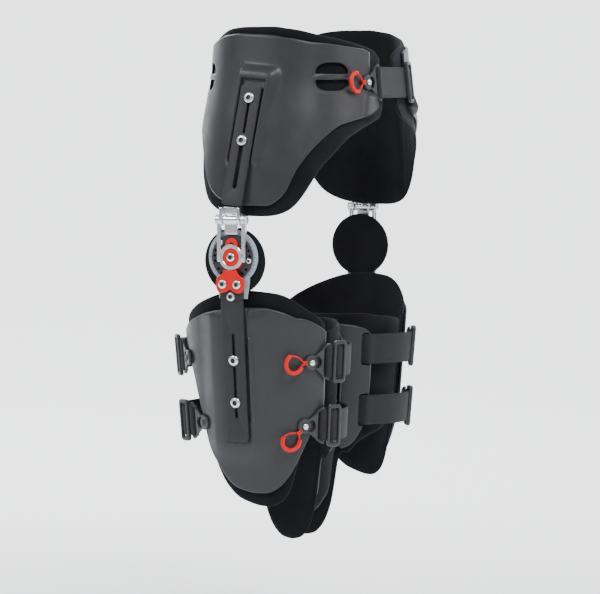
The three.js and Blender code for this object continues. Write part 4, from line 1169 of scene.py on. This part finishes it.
def bracket():
    """Triangular plate: a ring round the post, a curved window and two horns that hold the webbing's bar."""
    horn = BRACKET_HEIGHT / 2 - 0.4
    outline = arc(0, 0, 9.2, 62, 298, 30)
    outline += bend(outline[-1], (12, -12.5), (21, -horn + 0.6), 8) + arc(24.2, -horn + 1.9, 2.2, 250, 360, 6)
    outline += arc(24.2, horn - 1.9, 2.2, 0, 110, 6) + bend((21, horn - 0.6), (12, 12.5), outline[0], 8)
    window = arc(5.2, 0, 8.4, -62, 62, 14) + arc(0, 0, 7.2, 55, -55, 10)
    slot = rounded_rect(17.2, 21.4, -18.6, 18.6, 1.6)
    return plate([outline, window, slot], 0, BRACKET_THICK, 1.1, None, 3)


def post():
    return turned([(6.2, -2.5), (6.2, 2.6), (5.6, 3.4), (4.4, 3.6), (4.0, 4.2)], Matrix(), 32)


def rivet():
    return turned([(1.2, 3.2), (3.7, 3.2), (3.7, 4.4), (3.1, 5.2), (1.8, 5.7)], Matrix(), 24)


def buckle():
    """Slide buckle with a rounded frame and a sunk middle bar."""
    x, y = BUCKLE_LENGTH / 2 - 0.5, BUCKLE_HEIGHT / 2
    window = rounded_rect(-x + 3.2, x - 3.2, -y + 4.6, y - 4.6, 1.8)
    frame_part = plate([rounded_rect(-x, x, -y, y, 4.2), window], 0, BUCKLE_THICK, 1.4, None, 4)
    return joined("buckle", frame_part, frame_bar())


def frame_bar():
    turn = at(Matrix(), 0, -(BUCKLE_HEIGHT / 2 - 2.5), 1.4) @ Matrix.Rotation(-math.pi / 2, 4, "X")
    return turned([(1.0, 0), (1.4, 0.4), (1.4, BUCKLE_HEIGHT - 5.4), (1.0, BUCKLE_HEIGHT - 5)], turn, 12)


def pull_loop(angle, grip_turn):
    """Thick grip on a thin cord: a tube over most of the loop, a knot, and two strands round the post."""
    centre = (-RING_BEHIND_POST, 0)
    grip = [(centre[0] + RING_RADIUS * math.cos(t), RING_RADIUS * math.sin(t), RING_TUBE)
            for t in np.radians(np.linspace(74 + grip_turn, 286 + grip_turn, 30))]
    knot = (-KNOT_BEHIND_POST, 0, RING_TUBE + 0.6)
    first, last = grip[0], grip[-1]
    parts = [tube(grip, RING_TUBE, 16, 4)]
    for end, bow in ((first, 3.4), (last, -3.4)):
        lead = Vector(end[:2]) - Vector(centre)
        lead = lead.normalized().lerp(Vector((1, 0)), 0.42).normalized()
        lead = Vector(centre) + lead * (RING_RADIUS - 0.4)
        middle = (lead.x, lead.y, RING_TUBE + 0.2)
        strand = [end, end, middle, knot, (-9.4, bow * 0.3, 3.4), (-7.4, bow * 0.5, 3.2)]
        parts.append(tube(strand, CORD_RADIUS, 8, 5))
    knot_path = [(knot[0] + 1.33 * math.cos(t), 2.3 * math.sin(t * 1.5),
                  knot[2] + 1.4 * math.cos(t * 1.5 + 0.8))
                 for t in np.linspace(0, 12.4, 40)]
    parts.append(tube(knot_path, CORD_RADIUS, 8, 3))
    whole = joined("pull_loop", *parts)
    whole.transform(Matrix.Rotation(angle, 4, "Z"))
    return whole


def placed(mesh, place):
    mesh.transform(place)
    return edges_sharp(mesh, 40)


def bracket_place(point, z, post_turn, towards):
    """The bracket's place: origin at its post, x towards the webbing and nearly along the shell."""
    middle = turn_after(point, post_turn, z, towards * SETTLE)
    place = seat(point, middle, z, BRACKET_SEAT) @ (TURN_OVER if towards > 0 else Matrix())
    return at(place, -SETTLE, 0)


def fittings(side_pair, name, point, z, post_turn, towards, loop, body, nodes):
    """Bracket, post, rivet and buckle at one end of a strap, with a pull loop where loop gives its angles."""
    place = bracket_place(point, z, post_turn, towards)
    far = BRACKET_LENGTH + BUCKLE_GAP + BUCKLE_LENGTH / 2
    buckle_place = at(place, far, 0, WEBBING_LIFT + WEBBING_THICK + BUCKLE_SEAT - BRACKET_SEAT)
    made = {"bracket": (placed(bracket(), place), FITTING, "buckle"),
            "post": (placed(post(), place), FITTING, "buckle"),
            "rivet": (placed(rivet(), place), METAL if loop else FITTING, "zinc" if loop else "buckle")}
    if "buckle" in nodes:
        made["buckle"] = (placed(buckle(), buckle_place), FITTING, "buckle")
    if loop:
        made["pull_ring"] = (placed(pull_loop(*loop), place), RED, "red")
    for part, (mesh, look, slot) in made.items():
        side_pair(f"{name}_{part}", mesh, look, body, slot, [nodes[part]] if part in nodes else [])


def alone(name, mesh, material, body, slot, nodes=()):
    return new_object(f"{name}_look", mesh, material, body, nodes)


for level, drop, front_post, back_post in CUFF_STRAPS:
    for end, post_turn, towards in (("front", front_post, 1), ("rear", back_post, -1)):
        nodes = {"bracket": f"{level}_{end}_bracket", "buckle": f"{level}_{end}_buckle"}
        loop = None
        if end == "front":
            nodes["pull_ring"] = f"{level}_pull_ring"
            loop = CUFF_LOOPS[level]
        fittings(pair, f"{level}_{end}", cuff_point, -drop, float(post_turn), towards, loop, "thigh", nodes)


OUTSIDE = WEBBING_LIFT + WEBBING_THICK / 2
INSIDE = -CUFF_PLASTIC - WEBBING_ROOM - WEBBING_THICK / 2
# From the post outwards: over the bracket's bar, under the buckle's frame, over its middle bar
FASTENED_END = [
    (20.0, 0.9), (20.9, 2.8), (22.2, 5.2), (25.6, 5.2), (27.3, 3.9), (28.2, 2.1), (31.0, 2.1),
    (34.2, 6.6), (39.8, 6.6), (43.0, 2.2), (47.0, OUTSIDE)]


def arc_between(point, first, last, z):
    turns = np.linspace(first, last, 1500)
    return float(travelled(point(turns, z, 0.0))[-1])


def fastened(point, z, post_turn, towards):
    """The strap's path from a bracket, as distance from the post along the ring and how far out."""
    place = bracket_place(point, z, post_turn, towards)
    turns = post_turn + towards * np.arange(0, 60, 0.1)
    ring = point(turns, z, 0.0)
    ahead = point(turns, z, 1.0) - ring
    arcs = travelled(ring)
    path = []
    for along, out in FASTENED_END:
        spot = np.array((place @ Vector((along * MM, 0, (out - BRACKET_SEAT) * MM)))) / MM
        reach = ((spot - ring) * ahead)[:, :2].sum(1) / (ahead[:, :2] ** 2).sum(1)
        near = np.linalg.norm((ring + ahead * reach[:, None] - spot)[:, :2], axis=1).argmin()
        path.append((float(arcs[near]), float(reach[near])))
    end, out = path[-1]
    path += [(end + d, OUTSIDE + (out - OUTSIDE) * share) for d, share in RUN_OUT]
    return path


def puckers(start, end, seed):
    """Small waves of a strap that isn't drawn quite tight."""
    rng = np.random.default_rng(seed)
    count = max(2, int((end - start) / 14))
    return [(start + (end - start) * (k + 0.5) / count, rng.uniform(0, 0.7)) for k in range(count)]


def cuff_strap(drop, front_post, back_post, seed):
    z = -float(drop)
    whole = arc_between(cuff_point, front_post, 360 + back_post, z)
    slots = [arc_between(cuff_point, front_post, 180 + apart, z) for apart in INNER_SLOTS]
    front = fastened(cuff_point, z, front_post, 1)
    rear = fastened(cuff_point, z, back_post, -1)
    path = [spot for spot in front if spot[0] < slots[0] - 9]
    for k, slot in enumerate(slots):
        before, after = (OUTSIDE, INSIDE) if k % 2 == 0 else (INSIDE, OUTSIDE)
        path += [(slot - 7.5, before), (slot - 3.2, before), (slot + 3.2, after), (slot + 7.5, after)]
    path += [(a, OUTSIDE + 0.6 * w) for a, w in puckers(slots[-1] + 12, whole - rear[-1][0], seed)]
    path += [(whole - a, out) for a, out in rear[::-1]]
    return strip("cuff_strap", cuff_point, front_post, z, path, 10)


for seed, (level, drop, front_post, back_post) in enumerate(CUFF_STRAPS):
    name = f"{level}_strap"
    pair(name, cuff_strap(drop, front_post, back_post, seed), WEB, "thigh", "webbing", (name,))

# Closing strap: from the right shell's bracket across the front to the left shell's buckle
z = float(WAIST_STRAP_RISE)
waist_nodes = {"bracket": "waist_bracket", "pull_ring": "waist_pull_ring"}
fittings(alone, "waist", girdle_point, z, 180.0 - WAIST_POST, -1, (0.0, 0), "root", waist_nodes)
slide = placed(buckle(), seat(girdle_point, WAIST_BUCKLE, z, WEBBING_LIFT + WEBBING_THICK + BUCKLE_SEAT))
alone("waist_buckle", slide, FITTING, "root", "buckle", ["waist_buckle"])
front = arc_between(girdle_point, WAIST_BUCKLE, 180 - WAIST_POST, z)
path = [(-12, OUTSIDE), (-6, 2.2), (-2.8, 6.6), (2.8, 6.6), (6, 2.2), (13, OUTSIDE)]
path.append((front * 0.5, OUTSIDE + 0.5))
path += [(front - a, out) for a, out in fastened(girdle_point, z, 180.0 - WAIST_POST, -1)[:6][::-1]]
band = strip("waist_strap", girdle_point, WAIST_BUCKLE, z, path)
alone("waist_strap", band, WEB, "root", "webbing", ["waist_strap"])
across = arc_between(girdle_point, 270 - BACK_STRAP_HALF, 270 + BACK_STRAP_HALF, z)
path = [(0, OUTSIDE), (30, OUTSIDE)] + [(a, OUTSIDE + 0.5 * w) for a, w in puckers(36, across - 36, 9)]
path += [(across - 30, OUTSIDE), (across, OUTSIDE)]
band = strip("back_strap", girdle_point, 270 - BACK_STRAP_HALF, z, path)
alone("back_strap", band, WEB, "root", "webbing", ["back_strap"])


# Camera, light and floor
def look_from(place, ahead, right):
    up = right.cross(ahead).normalized()
    matrix = Matrix((right, up, -ahead)).transposed().to_4x4()
    matrix.translation = place
    return matrix


DOWNWARD = math.radians(4.652)
ROUND = math.radians(26)
CAMERA_PLACE = Vector((-3.024, -1.458, 0.0))
RIGHTWARD = Vector((math.sin(ROUND), -math.cos(ROUND), 0))
ahead = Vector((math.cos(ROUND) * math.cos(DOWNWARD), math.sin(ROUND) * math.cos(DOWNWARD),
                -math.sin(DOWNWARD)))
camera = added("camera", bpy.data.cameras.new("camera"))
camera.data.sensor_width = 36
camera.data.lens = 160
camera.matrix_world = look_from(CAMERA_PLACE, ahead, RIGHTWARD)
bpy.context.scene.camera = camera


def lamp(name, place, aim, size, power):
    painted_weave_shade_and_tone = bpy.data.lights.new(name, "AREA")
    painted_weave_shade_and_tone.shape = "DISK"
    painted_weave_shade_and_tone.size = size
    painted_weave_shade_and_tone.energy = power
    obj = added(name, painted_weave_shade_and_tone)
    obj.location = place
    obj.rotation_euler = (Vector(aim) - Vector(place)).to_track_quat("-Z", "Y").to_euler()


lamp("key", (-1.4, -2.0, 2.6), (0, 0, 0.05), 1.2, 122)
lamp("front_fill", (0.9, -2.8, 0.9), (0, 0, -0.2), 1.6, 20)
lamp("side_fill", (-2.4, 1.7, 1.9), (0, 0, 0.05), 1.2, 58)
lamp("rim", (1.6, 2.2, 1.8), (0, 0, -0.2), 1.2, 50)

# Floor and backdrop, in metres
FLOOR_Z = -0.75
SWEEP_START = 2.2
SWEEP_RADIUS = 1.4
WALL_TOP = 6.0


def backdrop():
    """A floor that sweeps up into a pale wall behind the object. It glows, dimly on the floor near the front
    and brightly on the wall: painted light that brightens the backdrop and lights the object from behind.
    """
    profile = [(-6.0, FLOOR_Z), (SWEEP_START, FLOOR_Z)]
    profile += [(SWEEP_START + SWEEP_RADIUS * math.sin(t), FLOOR_Z + SWEEP_RADIUS * (1 - math.cos(t)))
                for t in np.linspace(0.1, math.pi / 2, 14)]
    profile.append((SWEEP_START + SWEEP_RADIUS, WALL_TOP))
    flat = Vector((math.cos(ROUND), math.sin(ROUND), 0))
    points = [flat * d + RIGHTWARD * s + Vector((0, 0, z)) for d, z in profile for s in (-7, 7)]
    faces = [(2 * i, 2 * i + 1, 2 * i + 3, 2 * i + 2) for i in range(len(profile) - 1)]
    mesh = bpy.data.meshes.new("backdrop")
    mesh.from_pydata([tuple(p) for p in points], [], faces)
    mesh.polygons.foreach_set("use_smooth", [True] * len(mesh.polygons))
    look = Look("glowing_backdrop_paper", (0.86, 0.87, 0.89), 0.9)
    look.bump(look.noise(300.0, 3.0), 0.0002, 0.2)
    # Painted light: the paper glows, its strength rising from the front of the floor to the wall behind
    look.setting("Emission Color", (0.97, 0.98, 1.0, 1))
    turn = look.node("ShaderNodeMapping", Rotation=(0, 0, -ROUND))
    look.link(look.place(), turn.inputs["Vector"])
    split = look.node("ShaderNodeSeparateXYZ")
    look.link(turn.outputs["Vector"], split.inputs[0])
    look.link(look.ramp(split.outputs["X"], -0.4, 1.3, 0.06, 1.35), look.shader.inputs["Emission Strength"])
    mesh.materials.append(look.material)
    obj = added("backdrop", mesh)


backdrop()
world = bpy.context.scene.world or bpy.data.worlds.new("world")
bpy.context.scene.world = world
world.use_nodes = True
sky = world.node_tree
split = sky.nodes.new("ShaderNodeSeparateXYZ")
fade = sky.nodes.new("ShaderNodeMapRange")
sky.links.new(sky.nodes.new("ShaderNodeTexCoord").outputs["Generated"], split.inputs[0])
sky.links.new(split.outputs[2], fade.inputs["Value"])
for key, number in (("From Min", -0.1), ("From Max", 0.7), ("To Min", 0.26), ("To Max", 0.55)):
    fade.inputs[key].default_value = number
sky.nodes["Background"].inputs[0].default_value = (0.94, 0.96, 1.0, 1)
sky.links.new(fade.outputs["Result"], sky.nodes["Background"].inputs[1])
